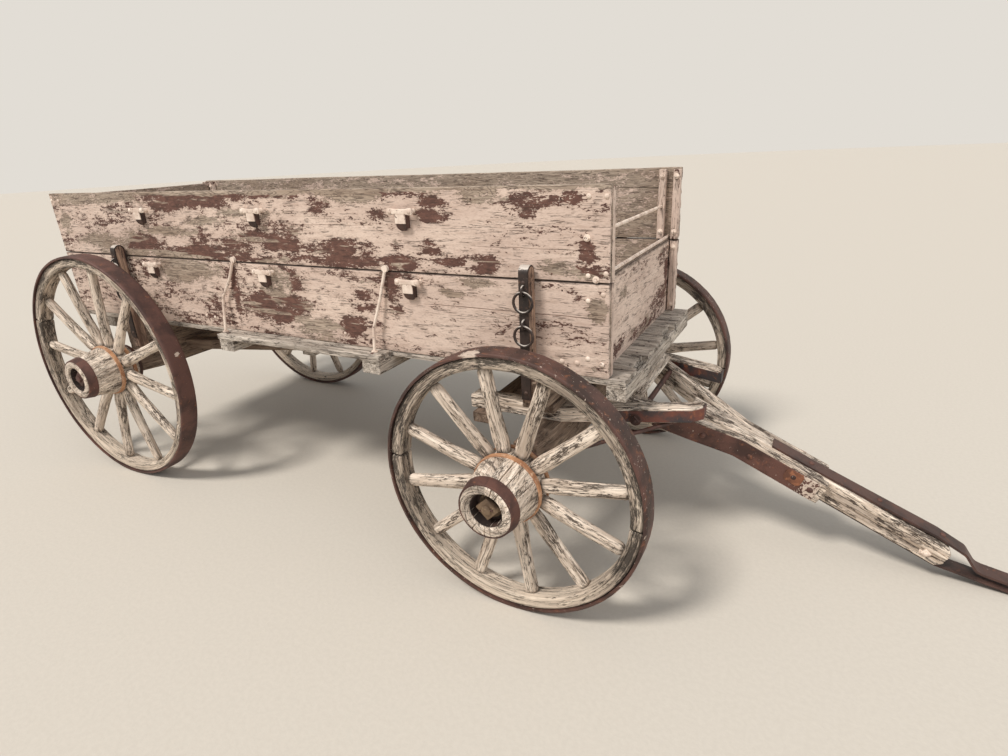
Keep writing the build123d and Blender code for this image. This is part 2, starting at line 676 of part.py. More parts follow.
def add_box(nodes):
    """Floor, sills, sides, gates and cleats of the box."""
    board = BOX_WIDTH / FLOOR_BOARDS
    boards = []
    for i in range(FLOOR_BOARDS):
        y0 = -HALF_BOX + i * board + FLOOR_SEAM / 2
        front = BOX_FRONT + FLOOR_OVERHANG - (FLOOR_SHORT if i % 3 == 1 else 0.0)
        boards.append(block(BOX_REAR, front, y0, y0 + board - FLOOR_SEAM, SILL_TOP, FLOOR_TOP))
    nodes["floor_boards"] = Compound(children=boards)

    sills = []
    for x, wide, right in sill_places():
        sills.append(block(x - wide / 2, x + wide / 2, right, HALF_BOX, SILL_TOP - SILL_HEIGHT, SILL_TOP))
    nodes["cross_sills"] = Compound(children=sills)

    lower = block(BOX_REAR, BOX_FRONT, INNER_SIDE, HALF_BOX, FLOOR_TOP, LOWER_TOP)
    upper = block(BOX_REAR, BOX_FRONT, INNER_SIDE, HALF_BOX, UPPER_FOOT, UPPER_TOP)
    upper = chamfer(upper.edges().filter_by(Axis.X).group_by(Axis.Z)[-1], BOARD_EDGE)
    nodes["side_left_lower"] = lower
    nodes["side_left_upper"] = upper
    nodes["side_right_lower"] = mirrored(lower)
    nodes["side_right_upper"] = mirrored(upper)

    half = INNER_SIDE - CLEAT_GAP
    for name, x, foot, top in (
        ("front_gate", FRONT_GATE_X, FLOOR_TOP, LOWER_TOP + FRONT_GATE_RISE),
        ("rear_gate", REAR_GATE_X, FLOOR_TOP + REAR_GATE_LIFT, UPPER_TOP - REAR_GATE_DROP),
    ):
        nodes[name] = block(x - GATE_THICK / 2, x + GATE_THICK / 2, -half, half, foot, top)

    cleats = []
    for x in cleat_places():
        for z0, z1 in ((FLOOR_TOP, LOWER_TOP), (UPPER_FOOT, UPPER_TOP - CLEAT_DROP)):
            cleat = block(
                x - CLEAT_THICK / 2, x + CLEAT_THICK / 2, INNER_SIDE - CLEAT_WIDTH, INNER_SIDE, z0, z1
            )
            cleats += both(cleat).solids()
    nodes["gate_cleats"] = Compound(children=cleats)


def cleat_places():
    """The four cross lines of cleats, in pairs that hold a gate between them."""
    gates = (FRONT_GATE_X, REAR_GATE_X)
    return [gate + side * CLEAT_FROM_GATE for gate in gates for side in (-1, 1)]


def sill_places():
    """Each cross sill's place and width, and where its right-hand end is."""
    at_end = STEP_SILL_WIDTH / 2 + STEP_SILL_IN
    behind_bolster = (BOX_REAR - WHEELBASE - BOLSTER_WIDTH / 2) / 2
    return [
        (BOX_FRONT + FLOOR_OVERHANG - SILL_WIDTH / 2, SILL_WIDTH, -HALF_BOX),
        (STEP_FRONT - at_end, STEP_SILL_WIDTH, STEP_OUTER),
        ((STEP_FRONT + STEP_REAR) / 2, SILL_WIDTH, -HALF_BOX),
        (STEP_REAR + at_end, STEP_SILL_WIDTH, STEP_OUTER),
        (behind_bolster, SILL_WIDTH, -HALF_BOX),
    ]


def add_box_irons(nodes):
    """Bow staples, cross tie rods, the step board and the rods that steady it."""
    first = -STAPLE_BEHIND_FRONT
    last = STAPLE_AHEAD_REAR - WHEELBASE
    staples = []
    for x in (first, (first + last) / 2, last):
        for top in (LOWER_TOP - STAPLE_DROP_LOWER, UPPER_TOP - STAPLE_DROP_UPPER):
            staples += both(mirrored(bow_staple(x, top))).solids()
    nodes["bow_staples"] = Compound(children=staples)

    ties = []
    half = HALF_BOX + TIE_OUT
    for x, z in tie_places():
        ties.append(bolt_bar((x, -half, z), (x, half, z), TIE_RADIUS))
        hole = bolt_bar((x, -half, z), (x, half, z), TIE_RADIUS + HOLE_PLAY)
        for name in ("side_left_upper", "side_right_upper", "gate_cleats"):
            nodes[name] = nodes[name] - hole
    nodes["tie_rods"] = Compound(children=ties)

    nodes["step_board"] = block(
        STEP_FRONT, STEP_REAR, STEP_OUTER, -HALF_BOX - STEP_GAP, SILL_TOP, STEP_TOP
    )
    ends = (STEP_FRONT - ROD_FRONT_IN, STEP_REAR + ROD_REAR_IN)
    nodes["step_rods"] = Compound(children=[step_rod(x, knee) for x, knee in zip(ends, ROD_KNEES)])


def tie_places():
    """The two tie rods: one over the front gate, one through its inner cleats above it."""
    return [
        (FRONT_GATE_X - CLEAT_FROM_GATE, UPPER_FOOT + TIE_UP_BOARD),
        (FRONT_GATE_X, LOWER_TOP + FRONT_GATE_RISE + TIE_RADIUS),
    ]


def step_rod(foot_x, knee):
    """One bent rod on the right side, from its eye on the side down to the step's top."""
    knee_out, eye_ahead, knee_ahead, knee_up = knee
    wall = -HALF_BOX - ROD_RADIUS
    points = [
        (foot_x + eye_ahead, wall, FLOOR_TOP + ROD_EYE_UP),
        (foot_x + eye_ahead - knee_ahead, wall - knee_out / 2, FLOOR_TOP + (ROD_EYE_UP + knee_up) / 2),
        (foot_x, wall - knee_out, FLOOR_TOP + knee_up),
        (foot_x, -HALF_BOX - ROD_FOOT_OUT, STEP_TOP + ROD_WASHER),
    ]
    rod = bent_rod(points, ROD_RADIUS, ROD_BEND)
    eye = Pos(*points[0]) * Rot(90, 0, 0) * Cylinder(ROD_EYE_RADIUS, 2 * ROD_RADIUS)
    washer = Pos(0, 0, -ROD_WASHER / 2) * Pos(*points[-1]) * Cylinder(ROD_EYE_RADIUS, ROD_WASHER)
    return rod + eye + washer


def bow_staple(x, top):
    """A staple on the left side: a pocket open at the top, under a bar on two ears."""
    y = HALF_BOX
    off = y + STAPLE_STANDS_OFF
    out = off + STAPLE_IRON
    half = STAPLE_BAR_LONG / 2
    foot = top - STAPLE_BAR_HIGH
    bottom = foot - STAPLE_POCKET_DEEP
    wide = STAPLE_POCKET_WIDE / 2
    bar = block(x - half, x + half, off, out, foot, top)
    ears = block(x - half, x - half + STAPLE_EAR, y, off, foot, top)
    ears += block(x + half - STAPLE_EAR, x + half, y, off, foot, top)
    pocket = block(x - wide, x + wide, y, out, bottom, foot)
    pocket -= block(x - wide + STAPLE_IRON, x + wide - STAPLE_IRON, y, off, bottom + STAPLE_IRON, foot)
    return bar + ears + pocket


# Tongue


def arm_outer(along):
    """Half width of the tongue over the outside of its arms, along the tongue."""
    return max(hound_inner(PIN_X) - ARM_GAP + HOUND_SLOPE * along, POLE_WIDTH / 2 + ARM_WIDTH)


def add_tongue(nodes):
    """The pole, its two arms, their irons and the hitch straps."""
    place = Pos(PIN_X, 0, PIN_Z) * Rot(0, POLE_DIP, 0)
    bend = (POLE_WIDTH / 2 + ARM_WIDTH - arm_outer(0.0)) / HOUND_SLOPE
    arm_across = ARM_WIDTH * math.hypot(1.0, HOUND_SLOPE)
    outline = [
        (-ARM_REAR, arm_outer(-ARM_REAR)),
        (bend, arm_outer(bend)),
        (ARM_END, arm_outer(ARM_END)),
        (ARM_END, POLE_WIDTH / 2),
        (bend, POLE_WIDTH / 2),
        (-ARM_REAR, arm_outer(-ARM_REAR) - arm_across),
    ]
    hole = Rot(90, 0, 0) * Cylinder(PIN_RADIUS + RUN_FIT, BOX_WIDTH)
    nodes["tongue_arms"] = place * both(bar_in_plan(outline, ARM_FOOT, ARM_TOP) - hole)

    plate = [(s, arm_outer(s)) for s in (ARM_IRON_FROM, bend, ARM_END)]
    iron_low, iron_high = ARM_IRON_IN
    clad = bar_in_plan(
        plate + [(s, y + ARM_IRON) for s, y in reversed(plate)], ARM_FOOT + iron_low, ARM_TOP - iron_high
    )
    nodes["tongue_irons"] = place * both(clad)

    nodes["tongue_pole"] = place * pole()
    back, front = CROSS_PIECE
    half = arm_outer(-front) - CROSS_PIECE_IN
    cross = block(-back, -front, -half, half, ARM_TOP, ARM_TOP + CROSS_PIECE_THICK)
    nodes["tongue_cross_piece"] = place * cross
    nodes["hitch_straps"] = place * hitch_straps()


def pole():
    """The short drop pole: its root between the arms, its nose cut off at the corners."""
    half = POLE_WIDTH / 2
    side = [
        (POLE_START, ARM_FOOT),
        (POLE_START, ARM_TOP),
        (POLE_END - POLE_NOSE_EDGE, ARM_TOP),
        (POLE_END, ARM_TOP - POLE_NOSE_EDGE),
        (POLE_END, ARM_FOOT + POLE_NOSE_EDGE),
        (POLE_END - POLE_NOSE_EDGE, ARM_FOOT),
    ]
    return bar_in_side(side, -half, half)


def hitch_drop():
    """How steeply the hitch falls from the pole's nose to rest its tip on the ground."""
    dip = math.radians(POLE_DIP)
    bend_height = PIN_Z - HITCH_BEND * math.sin(dip) + HITCH_FOOT * math.cos(dip)
    return math.asin(bend_height / HITCH_REACH)


def ahead(along, up):
    """A place on the hitch: so far along from its bend and so far above its foot."""
    rise = math.radians(POLE_DIP) - hitch_drop()
    return (
        HITCH_BEND + along * math.cos(rise) - up * math.sin(rise),
        HITCH_FOOT + along * math.sin(rise) + up * math.cos(rise),
    )


def hitch_hole_place():
    """The hitch hole's middle and axis from the ground below the front axle, and its length."""
    dip = math.radians(POLE_DIP)
    s, t = ahead(HITCH_REACH - HITCH_HOLE_BACK, HITCH_GAP / 2 + STRAP_THICK)
    x = PIN_X + s * math.cos(dip) + t * math.sin(dip)
    z = PIN_Z - s * math.sin(dip) + t * math.cos(dip)
    drop = hitch_drop()
    return (x, STRAP_SIDE, z), (math.sin(drop), 0.0, math.cos(drop)), HITCH_GAP + 2 * STRAP_THICK


def hitch_straps():
    """The flat straps over and under the pole that meet ahead of it as the hitch."""
    lower = [
        (LOWER_STRAP_START, HITCH_FOOT),
        (HITCH_BEND, HITCH_FOOT),
        ahead(HITCH_REACH, 0.0),
        ahead(HITCH_REACH, STRAP_THICK),
        (HITCH_BEND, HITCH_FOOT + STRAP_THICK),
        (LOWER_STRAP_START, HITCH_FOOT + STRAP_THICK),
    ]
    lift = HITCH_GAP + STRAP_THICK
    crest_out, crest_down = STRAP_CREST
    dip_from, dip_to = STRAP_DIP
    over = [
        (STRAP_START, ARM_TOP),
        (STRAP_START + STRAP_LEVEL, ARM_TOP),
        (POLE_END - STRAP_LIFT_BACK, ARM_TOP + STRAP_LIFT),
        (POLE_END + crest_out, ARM_TOP - crest_down),
        ahead(dip_from, lift + STRAP_THICK / 2),
        ahead(dip_to, lift),
        ahead(HITCH_REACH, lift),
    ]
    upper = over + offset_up(over, STRAP_THICK)[::-1]
    y0 = STRAP_SIDE - STRAP_WIDTH / 2
    y1 = STRAP_SIDE + STRAP_WIDTH / 2
    straps = [bent_strap(line, y0, y1, STRAP_BEND) for line in (lower, upper)]
    s, t = ahead(HITCH_REACH - HITCH_HOLE_BACK, 0.0)
    hole = Pos(s, STRAP_SIDE, t) * Rot(0, math.degrees(hitch_drop()) - POLE_DIP, 0)
    return Compound(children=[strap - hole * Cylinder(HITCH_HOLE, HITCH_REACH) for strap in straps])


def offset_up(points, thick):
    """A line of points set off upwards by the strap's thickness."""
    moved = []
    for i, (s, t) in enumerate(points):
        s0, t0 = points[max(i - 1, 0)]
        s1, t1 = points[min(i + 1, len(points) - 1)]
        length = math.hypot(s1 - s0, t1 - t0)
        moved.append((s - (t1 - t0) / length * thick, t + (s1 - s0) / length * thick))
    return moved


def tip_reach():
    """How far the tongue's foremost corner is ahead of the front axle."""
    dip = math.radians(POLE_DIP)
    corners = [ahead(HITCH_REACH, 0.0), ahead(HITCH_REACH, HITCH_GAP + 2 * STRAP_THICK)]
    return max(PIN_X + s * math.cos(dip) + t * math.sin(dip) for s, t in corners)


def build():
    """All nodes, each in the wagon's place, with the length centred on the origin."""
    nodes = {}
    add_wheels(nodes)
    add_front_gear(nodes)
    add_rear_gear(nodes)
    add_box(nodes)
    add_box_irons(nodes)
    add_tongue(nodes)
    for name, shape in nodes.items():
        export_step(Pos(SHIFT, 0, 0) * shape, f"parts/{name}.step")


# Half the wagon's length is ahead of the origin and half is behind it.
SHIFT = (WHEELBASE + REAR_RADIUS - tip_reach()) / 2
build()
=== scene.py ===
import itertools
import json
import math
from collections import namedtuple

import bpy
import numpy as np
from mathutils import Matrix, Vector


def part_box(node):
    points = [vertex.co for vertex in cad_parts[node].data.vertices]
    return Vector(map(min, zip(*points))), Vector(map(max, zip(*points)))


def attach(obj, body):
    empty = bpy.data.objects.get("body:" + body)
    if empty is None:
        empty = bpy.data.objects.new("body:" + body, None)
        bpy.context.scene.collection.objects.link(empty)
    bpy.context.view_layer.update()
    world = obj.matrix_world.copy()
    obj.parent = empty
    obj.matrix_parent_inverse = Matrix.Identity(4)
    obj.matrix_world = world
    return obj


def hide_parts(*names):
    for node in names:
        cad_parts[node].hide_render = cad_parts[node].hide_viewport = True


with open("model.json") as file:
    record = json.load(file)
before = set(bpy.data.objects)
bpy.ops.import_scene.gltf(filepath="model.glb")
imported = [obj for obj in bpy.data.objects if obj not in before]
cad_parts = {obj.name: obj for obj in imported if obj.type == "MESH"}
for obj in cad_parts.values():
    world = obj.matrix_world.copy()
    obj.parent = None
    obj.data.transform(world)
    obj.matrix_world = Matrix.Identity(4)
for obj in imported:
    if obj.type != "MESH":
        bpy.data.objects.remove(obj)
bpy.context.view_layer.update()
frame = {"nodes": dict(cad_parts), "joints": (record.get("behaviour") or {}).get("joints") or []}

# Every place below is in metres from the ground point under the front axle. +X is forward,
# the near side is -Y. AXLE_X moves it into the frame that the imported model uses.
AXLE_X = next(j["pos_m"][0] for j in frame["joints"] if j["name"] == "steering")
X, Y, Z = (1, 0, 0), (0, 1, 0), (0, 0, 1)
WHEELBASE = 2.414
FRONT_RADIUS = 0.5
REAR_RADIUS = 0.604
FRONT_FACE = 0.834
REAR_FACE = 0.772
HUB_OUT = 0.138
TYRE_WIDTH = 0.089
TYRE_THICK = 0.012
FELLOE_WIDTH = 0.074
FELLOE_DEPTH = 0.046
HALF_BOX = 0.509
SIDE_THICK = 0.025
SILL_TOP = 0.808
FLOOR_TOP = 0.832
LOWER_TOP = 1.167
UPPER_FOOT = 1.171
UPPER_TOP = 1.486
STAKE_INNER = 0.523
STAKE_OUTER = 0.575
STAKE_SPRING = 1.201
STAKE_TAPER = 0.008
BROWN = 0.0
GREY = 1.0


# Repeatable noise


class Grain:
    """Smooth value noise on a repeating lattice, the same on every run."""

    SIZE = 64

    def __init__(self, seed):
        self.table = np.random.default_rng(seed).random((self.SIZE,) * 3) * 2 - 1

    def at(self, points, scale, shift=0.0):
        """Noise from -1 to 1 at points, each axis scaled by its own number per metre."""
        p = np.asarray(points, float) * np.asarray(scale, float) + shift
        low = np.floor(p).astype(int)
        f = p - low
        f = f * f * (3 - 2 * f)
        total = 0.0
        for corner in itertools.product((0, 1), repeat=3):
            share = np.prod(np.where(corner, f, 1 - f), axis=-1)
            total = total + share * self.table[tuple(np.moveaxis((low + corner) % self.SIZE, -1, 0))]
        return total

    def layers(self, points, scale, count, shift=0.0):
        """Several octaves of noise, each twice as fine and half as strong."""
        scale = np.asarray(scale)
        return sum(self.at(points, scale * 2**k, shift + 7.3 * k) / 2**k for k in range(count))


GRAIN = Grain(11)


# Meshes


def link(obj):
    """Puts an object into the scene."""
    bpy.context.scene.collection.objects.link(obj)
    return obj


def add_mesh(name, verts, faces, material, fields=None, sharp=38.0):
    """A mesh object from points in the wagon's own place, with its extra point fields."""
    mesh = bpy.data.meshes.new(name)
    mesh.from_pydata([tuple(p) for p in np.asarray(verts, float) + (AXLE_X, 0, 0)], [], faces)
    mesh.polygons.foreach_set("use_smooth", [True] * len(mesh.polygons))
    mesh.set_sharp_from_angle(angle=math.radians(sharp))
    for key, values in (fields or {}).items():
        values = np.asarray(values, np.float32)
        kind, part = ("FLOAT_VECTOR", "vector") if values.ndim == 2 else ("FLOAT", "value")
        mesh.attributes.new(key, kind, "POINT").data.foreach_set(part, values.ravel())
    mesh.materials.append(material)
    return link(bpy.data.objects.new(name, mesh))


class Build:
    """Gathers many small parts into the one mesh of a piece."""

    def __init__(self):
        self.verts = []
        self.faces = []
        self.fields = []
        self.materials = []
        self.count = 0

    def add(self, verts, faces, material=0, **fields):
        """Adds one part: its points, its faces, its material's number and its fields."""
        verts = np.asarray(verts, float)
        self.verts.append(verts)
        self.faces += [tuple(self.count + i for i in f) for f in faces]
        self.materials += [material] * len(faces)
        self.fields.append({"grain": verts, **fields})
        self.count += len(verts)

    def piece(self, name, body, slot, materials, replaces=(), sharp=38.0):
        """Makes the object, which rides on its body and may stand for CAD nodes."""
        fields = {}
        for key in sorted({key for part in self.fields for key in part}):
            values = [part.get(key, np.zeros(len(own))) for part, own in zip(self.fields, self.verts)]
            fields[key] = np.concatenate(values)
        obj = add_mesh(name, np.concatenate(self.verts), self.faces, materials[0], fields, sharp)
        for extra in materials[1:]:
            obj.data.materials.append(extra)
        obj.data.polygons.foreach_set("material_index", self.materials)
        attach(obj, body)
        if replaces:
            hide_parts(*replaces)


def rows_to_faces(rows, around, joined=False):
    """Quads between rows of points that go round. joined links the last row to the first."""
    faces = []
    for i in range(rows if joined else rows - 1):
        a, b = i * around, (i + 1) % rows * around
        for k in range(around):
            n = (k + 1) % around
            faces.append((a + k, a + n, b + n, b + k))
    return faces


def capped(rows, around):
    """Quads between rows of points, and a flat face on each end."""
    last = (rows - 1) * around
    ends = [tuple(range(around))[::-1], tuple(range(last, last + around))]
    return rows_to_faces(rows, around) + ends


# The share of a section side's t that runs along the side. The rest turns the corner.
FLAT = 0.9
CORNER_STEPS = 3


def rect_section(t, half_w, half_d, radius):
    """A rectangle with round corners. t runs 0 to 4 round its sides, top first, left to right."""
    side = np.floor(t).astype(int) % 4
    f = t - np.floor(t)
    level = side % 2 == 0
    long, away = np.where(level, half_w, half_d), np.where(level, half_d, half_w)
    radius = np.minimum(radius, np.minimum(half_w, half_d) * 0.95)
    turn = np.where(f < FLAT, 0.0, (f - FLAT) / (1 - FLAT)) * math.pi / 2
    line = np.where(f < FLAT, f / FLAT * 2 - 1, 1.0)
    normal = np.sin(turn), np.cos(turn)
    point = line * (long - radius) + radius * normal[0], away - radius + radius * normal[1]
    found = []
    for along, out in (point, normal):
        found.append(np.choose(side, [along, out, -along, -out]))
        found.append(np.choose(side, [out, -along, -out, along]))
    return found


def oval_section(t, half_w, half_d, power):
    """A rounded oval between a circle and a box. t runs 0 to 4 round it."""
    angle = math.pi / 2 - t * math.pi / 2
    c, s = np.cos(angle), np.sin(angle)
    x = half_w * np.sign(c) * np.abs(c) ** (2 / power)
    y = half_d * np.sign(s) * np.abs(s) ** (2 / power)
    size = np.hypot(c / half_w, s / half_d)
    return x, y, c / half_w / size, s / half_d / size


# One drying crack along a timber: its side and place across, and where it starts and ends.
Check = namedtuple("Check", "place start end wide deep wander", defaults=(0.004, 0.006, 0.003))

# A crack's least width, and how long it takes to close at an end inside the timber.
HAIRLINE = 0.0006
CRACK_CLOSES = 0.06

# The share of a timber's end that its sunk middle takes up.
END_SHARE = 0.8


def section_places(per_side, checks, spans):
    """Where the section's points are, round its sides, with three for each crack."""
    plain = []
    for side, count in enumerate(per_side):
        plain += [side + FLAT * k / count for k in range(count)]
        plain += [side + FLAT + (1 - FLAT) * k / CORNER_STEPS for k in range(CORNER_STEPS)]
    kept = [(c.place, number, k) for number, c in enumerate(checks) for k in (-1, 0, 1)]
    needed = [FLAT * (1.4 * c.wander + c.wide) / spans[int(c.place) % 2] for c in checks]
    for t in plain:
        if all(abs((t - c.place + 2) % 4 - 2) > need for c, need in zip(checks, needed)):
            kept.append((t, None, 0))
    return sorted(kept, key=lambda e: (e[0], e[2]))


def crack_line(check, marks, length, number, seed):
    """How far a crack wanders sideways and how open it is, at each mark along its timber."""
    s = np.column_stack([marks, np.full(len(marks), 3.1 * number), np.full(len(marks), seed * 1.7)])
    wander = GRAIN.layers(s, (6.0, 1.0, 1.0), 3) * check.wander * 0.8
    ahead, behind = marks - check.start, check.end - marks
    if check.end >= length:
        opening = np.clip(ahead / max(length - check.start, 0.01) * 1.6, 0, 1)
    elif check.start <= 0:
        opening = np.clip(behind / max(check.end, 0.01) * 1.6, 0, 1)
    else:
        opening = np.clip(ahead / CRACK_CLOSES, 0, 1) * np.clip(behind / CRACK_CLOSES, 0, 1)
    return wander, opening * (1 + 0.35 * GRAIN.at(s, (30.0, 1.0, 1.0)))


def worn_ends(pts, own, tangent, ragged, shift):
    """Wears a timber's two ends unevenly, and gives their sunk middles and the end faces."""
    rows, around = pts.shape[:2]
    inner, faces = [], []
    turns = [(k, (k + 1) % around) for k in range(around)]
    for end, sign in ((0, 1), (rows - 1, -1)):
        wear = np.abs(GRAIN.layers(own[end] * (0, 1, 1), (1.0, 90.0, 90.0), 2, shift + sign)) * ragged
        for row, share in ((end, 1.0), (end + sign, 0.7)):
            pts[row] += (sign * share * wear)[:, None] * tangent[row]
        deep = np.abs(GRAIN.layers(own[end], (1.0, 160.0, 160.0), 2, shift + 4)) * ragged
        middle = pts[end].mean(axis=0)
        outer, count = end * around, (rows + len(inner)) * around
        inner.append(middle + (pts[end] - middle) * END_SHARE + (sign * deep)[:, None] * tangent[end])
        faces += [(outer + k, outer + n, count + n, count + k)[::sign] for k, n in turns]
        faces.append(tuple(range(count, count + around))[::sign])
    return inner, faces


def timber(
    build, stations, seed, step=0.025, per_side=(5, 5), radius=0.004, rough=0.0008, wave=0.0012,
    ragged=0.004, checks=(), oval=0.0, material=0, fields=None, place=None,
):
    """A weathered timber lofted along stations of (centre, across, up, half width, half depth).

    Its faces are uneven along the grain, its ends are ragged and it may carry drying cracks.
    per_side is how many points lie along its top and its side, and then its bottom and its
    other side where those differ.
    """
    centre, across, up = (np.array([s[k] for s in stations], float) for k in range(3))
    half = np.array([s[3:5] for s in stations], float)
    gaps = np.linalg.norm(np.diff(centre, axis=0), axis=1)
    reach = np.concatenate([[0.0], np.cumsum(gaps)])
    length = reach[-1]
    edge = min(radius * 0.7, length / 8)
    marks = [np.linspace(a, b, max(1, round((b - a) / step)) + 1) for a, b in zip(reach, reach[1:])]
    marks = np.unique(np.round(np.concatenate([*marks, [edge, length - edge]]), 6))

    def along(values):
        return np.stack([np.interp(marks, reach, column) for column in values.T], axis=1)

    centre, across, up, half = along(centre), along(across), along(up), along(half)
    places = section_places((*per_side, *per_side)[:4], checks, 2 * half[0])
    t = np.tile([p[0] for p in places], (len(marks), 1))
    dig = np.zeros_like(t)
    for k, (_, number, which) in enumerate(places):
        if number is None:
            continue
        check = checks[number]
        wander, opening = crack_line(check, marks, length, number, seed)
        span = 2 * half[:, int(check.place) % 2]
        t[:, k] = check.place + (wander + which * 0.5 * (HAIRLINE + check.wide * opening)) / span * FLAT
        if which == 0:
            dig[:, k] = check.deep * opening
    section, shape = (oval_section, oval) if oval else (rect_section, radius)
    x, y, nx, ny = section(t, half[:, :1], half[:, 1:], shape)
    own = np.stack([marks[:, None] + 0 * x, x, y], axis=2)
    shift = seed * 5.17
    bump = GRAIN.layers(own, (9.0, 60.0, 60.0), 3, shift) * rough - dig
    bump[[0, -1]] -= edge
    x = x + nx * bump + wave * GRAIN.at(own[:, :1] * X, (2.2, 1, 1), shift + 3)
    y = y + ny * bump + wave * GRAIN.at(own[:, :1] * X, (2.2, 1, 1), shift + 9)
    tangent = np.gradient(centre, axis=0)
    tangent /= np.linalg.norm(tangent, axis=1)[:, None]
    pts = centre[:, None] + x[..., None] * across[:, None] + y[..., None] * up[:, None]
    inner, ends = worn_ends(pts, own, tangent, ragged, shift)
    faces = [f[::-1] for f in rows_to_faces(*pts.shape[:2])] + ends
    verts = np.concatenate([pts.reshape(-1, 3), *inner])
    shrunk = own[[0, -1]] * (1, END_SHARE, END_SHARE)
    grain = np.concatenate([own.reshape(-1, 3), *shrunk]) + (shift, shift * 0.7, shift * 0.3)
    if place:
        verts = place(verts)
        faces = [f[::-1] for f in faces] if flip_of(place) else faces
    more = {key: make(verts) for key, make in (fields or {}).items()}
    build.add(verts, faces, material, grain=grain, **more)


def straight(lo, hi, axis):
    """Stations of a straight timber that fills the box from lo to hi, along one axis."""
    lo, hi = np.asarray(lo, float), np.asarray(hi, float)
    ends = np.array([(lo + hi) / 2] * 2)
    ends[:, axis] = lo[axis], hi[axis]
    wide, deep = {0: (1, 2), 1: (0, 2), 2: (0, 1)}[axis]
    across, up = np.eye(3)[wide] * (-1 if axis == 1 else 1), np.eye(3)[deep]
    half = (hi - lo) / 2
    return [(p, across, up, half[wide], half[deep]) for p in ends]


def local_box(node):
    """A CAD node's box in the wagon's own place."""
    lo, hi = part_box(node)
    return np.array(lo) - (AXLE_X, 0, 0), np.array(hi) - (AXLE_X, 0, 0)


def islands(node):
    """The boxes of a CAD node's separate solids, in the wagon's own place."""
    mesh = frame["nodes"][node].data
    points = np.array([v.co for v in mesh.vertices], float)
    group = np.unique(np.round(points, 5), axis=0, return_inverse=True)[1].ravel()
    for face in mesh.polygons:
        linked = np.unique(group[list(face.vertices)])
        if len(linked) > 1:
            group[np.isin(group, linked)] = linked[0]
    solids = [points[group == one] - (AXLE_X, 0, 0) for one in np.unique(group)]
    return sorted(((p.min(0), p.max(0)) for p in solids), key=lambda b: tuple(np.round(b[0], 4)))


def flip_of(place):
    """Whether a placing function mirrors what it is given."""
    corner = place(np.array([(0, 0, 0), X, Y, Z], float))
    return np.linalg.det(corner[1:] - corner[0]) < 0


def turned(build, profile, place, seed, around, rough, flute=0.0, material=0, checks=(), marks=()):
    """A turned ring or drum. The profile is closed, of (distance along the axis, radius).

    place turns its own (x, along, z) points into the wagon's place. checks are cracks along
    it, of (angle, half width in degrees, depth, from radius, to radius). marks are spots of
    (angle, along, half angle, half length), kept in the field mark.
    """
    profile = np.asarray(profile, float)
    angles = list(np.linspace(0, 360, around, endpoint=False))
    for c in checks:
        angles = [a for a in angles if abs((a - c[0] + 180) % 360 - 180) > c[1] + 0.4]
        angles += [c[0] - c[1], c[0], c[0] + c[1]]
    angles = np.array(sorted(a % 360 for a in angles))[:, None]
    a = np.radians(angles)
    y, r = (profile[:, k] + 0 * a for k in (0, 1))
    ring = np.stack([r * np.cos(a), y, r * np.sin(a)], axis=2)
    r = r + GRAIN.layers(ring, (50.0, 12.0, 50.0), 3, seed * 3.3) * rough
    r = r + flute * GRAIN.at(ring, (9.0, 4.0, 9.0), seed * 1.9)
    soft = 0.006
    for angle, _, deep, r0, r1 in checks:
        hit = np.abs((angles[:, 0] - angle + 180) % 360 - 180) < 1e-6
        room = np.clip((r[hit] - r0) / soft, 0, 1) * np.clip((r1 - r[hit]) / soft, 0, 1)
        lift = 1 - np.abs(GRAIN.at(ring[hit], (40.0, 40.0, 40.0), seed)) * 0.6
        middle = (profile[:, 0].min() + profile[:, 0].max()) / 2
        y[hit] += np.sign(middle - y[hit]) * deep * room * lift
        r[hit] -= deep * room * 0.5
    pts = np.stack([r * np.sin(a), y, r * np.cos(a)], axis=2)
    own = np.stack([y, r * a, r], axis=2) + (seed * 5.1, seed * 2.3, seed * 0.9)
    mark = np.zeros(r.shape)
    for angle, along, half_angle, half_along in marks:
        off = ((angles - angle + 180) % 360 - 180) / half_angle
        mark = np.maximum(mark, np.clip(1.4 - 0.8 * np.hypot(off, (y - along) / half_along), 0, 1))
    faces = rows_to_faces(*r.shape, joined=True)
    ahead = np.roll(profile, -1, 0)
    backwards = np.sum(profile[:, 0] * ahead[:, 1] - ahead[:, 0] * profile[:, 1]) < 0
    if backwards != flip_of(place):
        faces = [f[::-1] for f in faces]
    build.add(place(pts.reshape(-1, 3)), faces, material, grain=own.reshape(-1, 3), mark=mark.reshape(-1))


def rod(build, points, radius, around, material):
    """A round rod along points, its corners rounded by averaging."""
    p = np.asarray(points, float)
    for _ in range(3):
        cut = np.stack([p[:-1] * 0.75 + p[1:] * 0.25, p[:-1] * 0.25 + p[1:] * 0.75], 1)
        p = np.concatenate([p[:1], cut.reshape(-1, 3), p[-1:]])
    tangent = np.gradient(p, axis=0)
    side = np.cross(tangent, Z)
    tangent /= np.linalg.norm(tangent, axis=1)[:, None]
    side /= np.linalg.norm(side, axis=1)[:, None]
    up = np.cross(side, tangent)
    a = np.linspace(0, 2 * math.pi, around, endpoint=False)[:, None]
    pts = p[:, None] + (np.cos(a) * side[:, None] + np.sin(a) * up[:, None]) * radius
    build.add(pts.reshape(-1, 3), [f[::-1] for f in capped(len(p), around)], material)


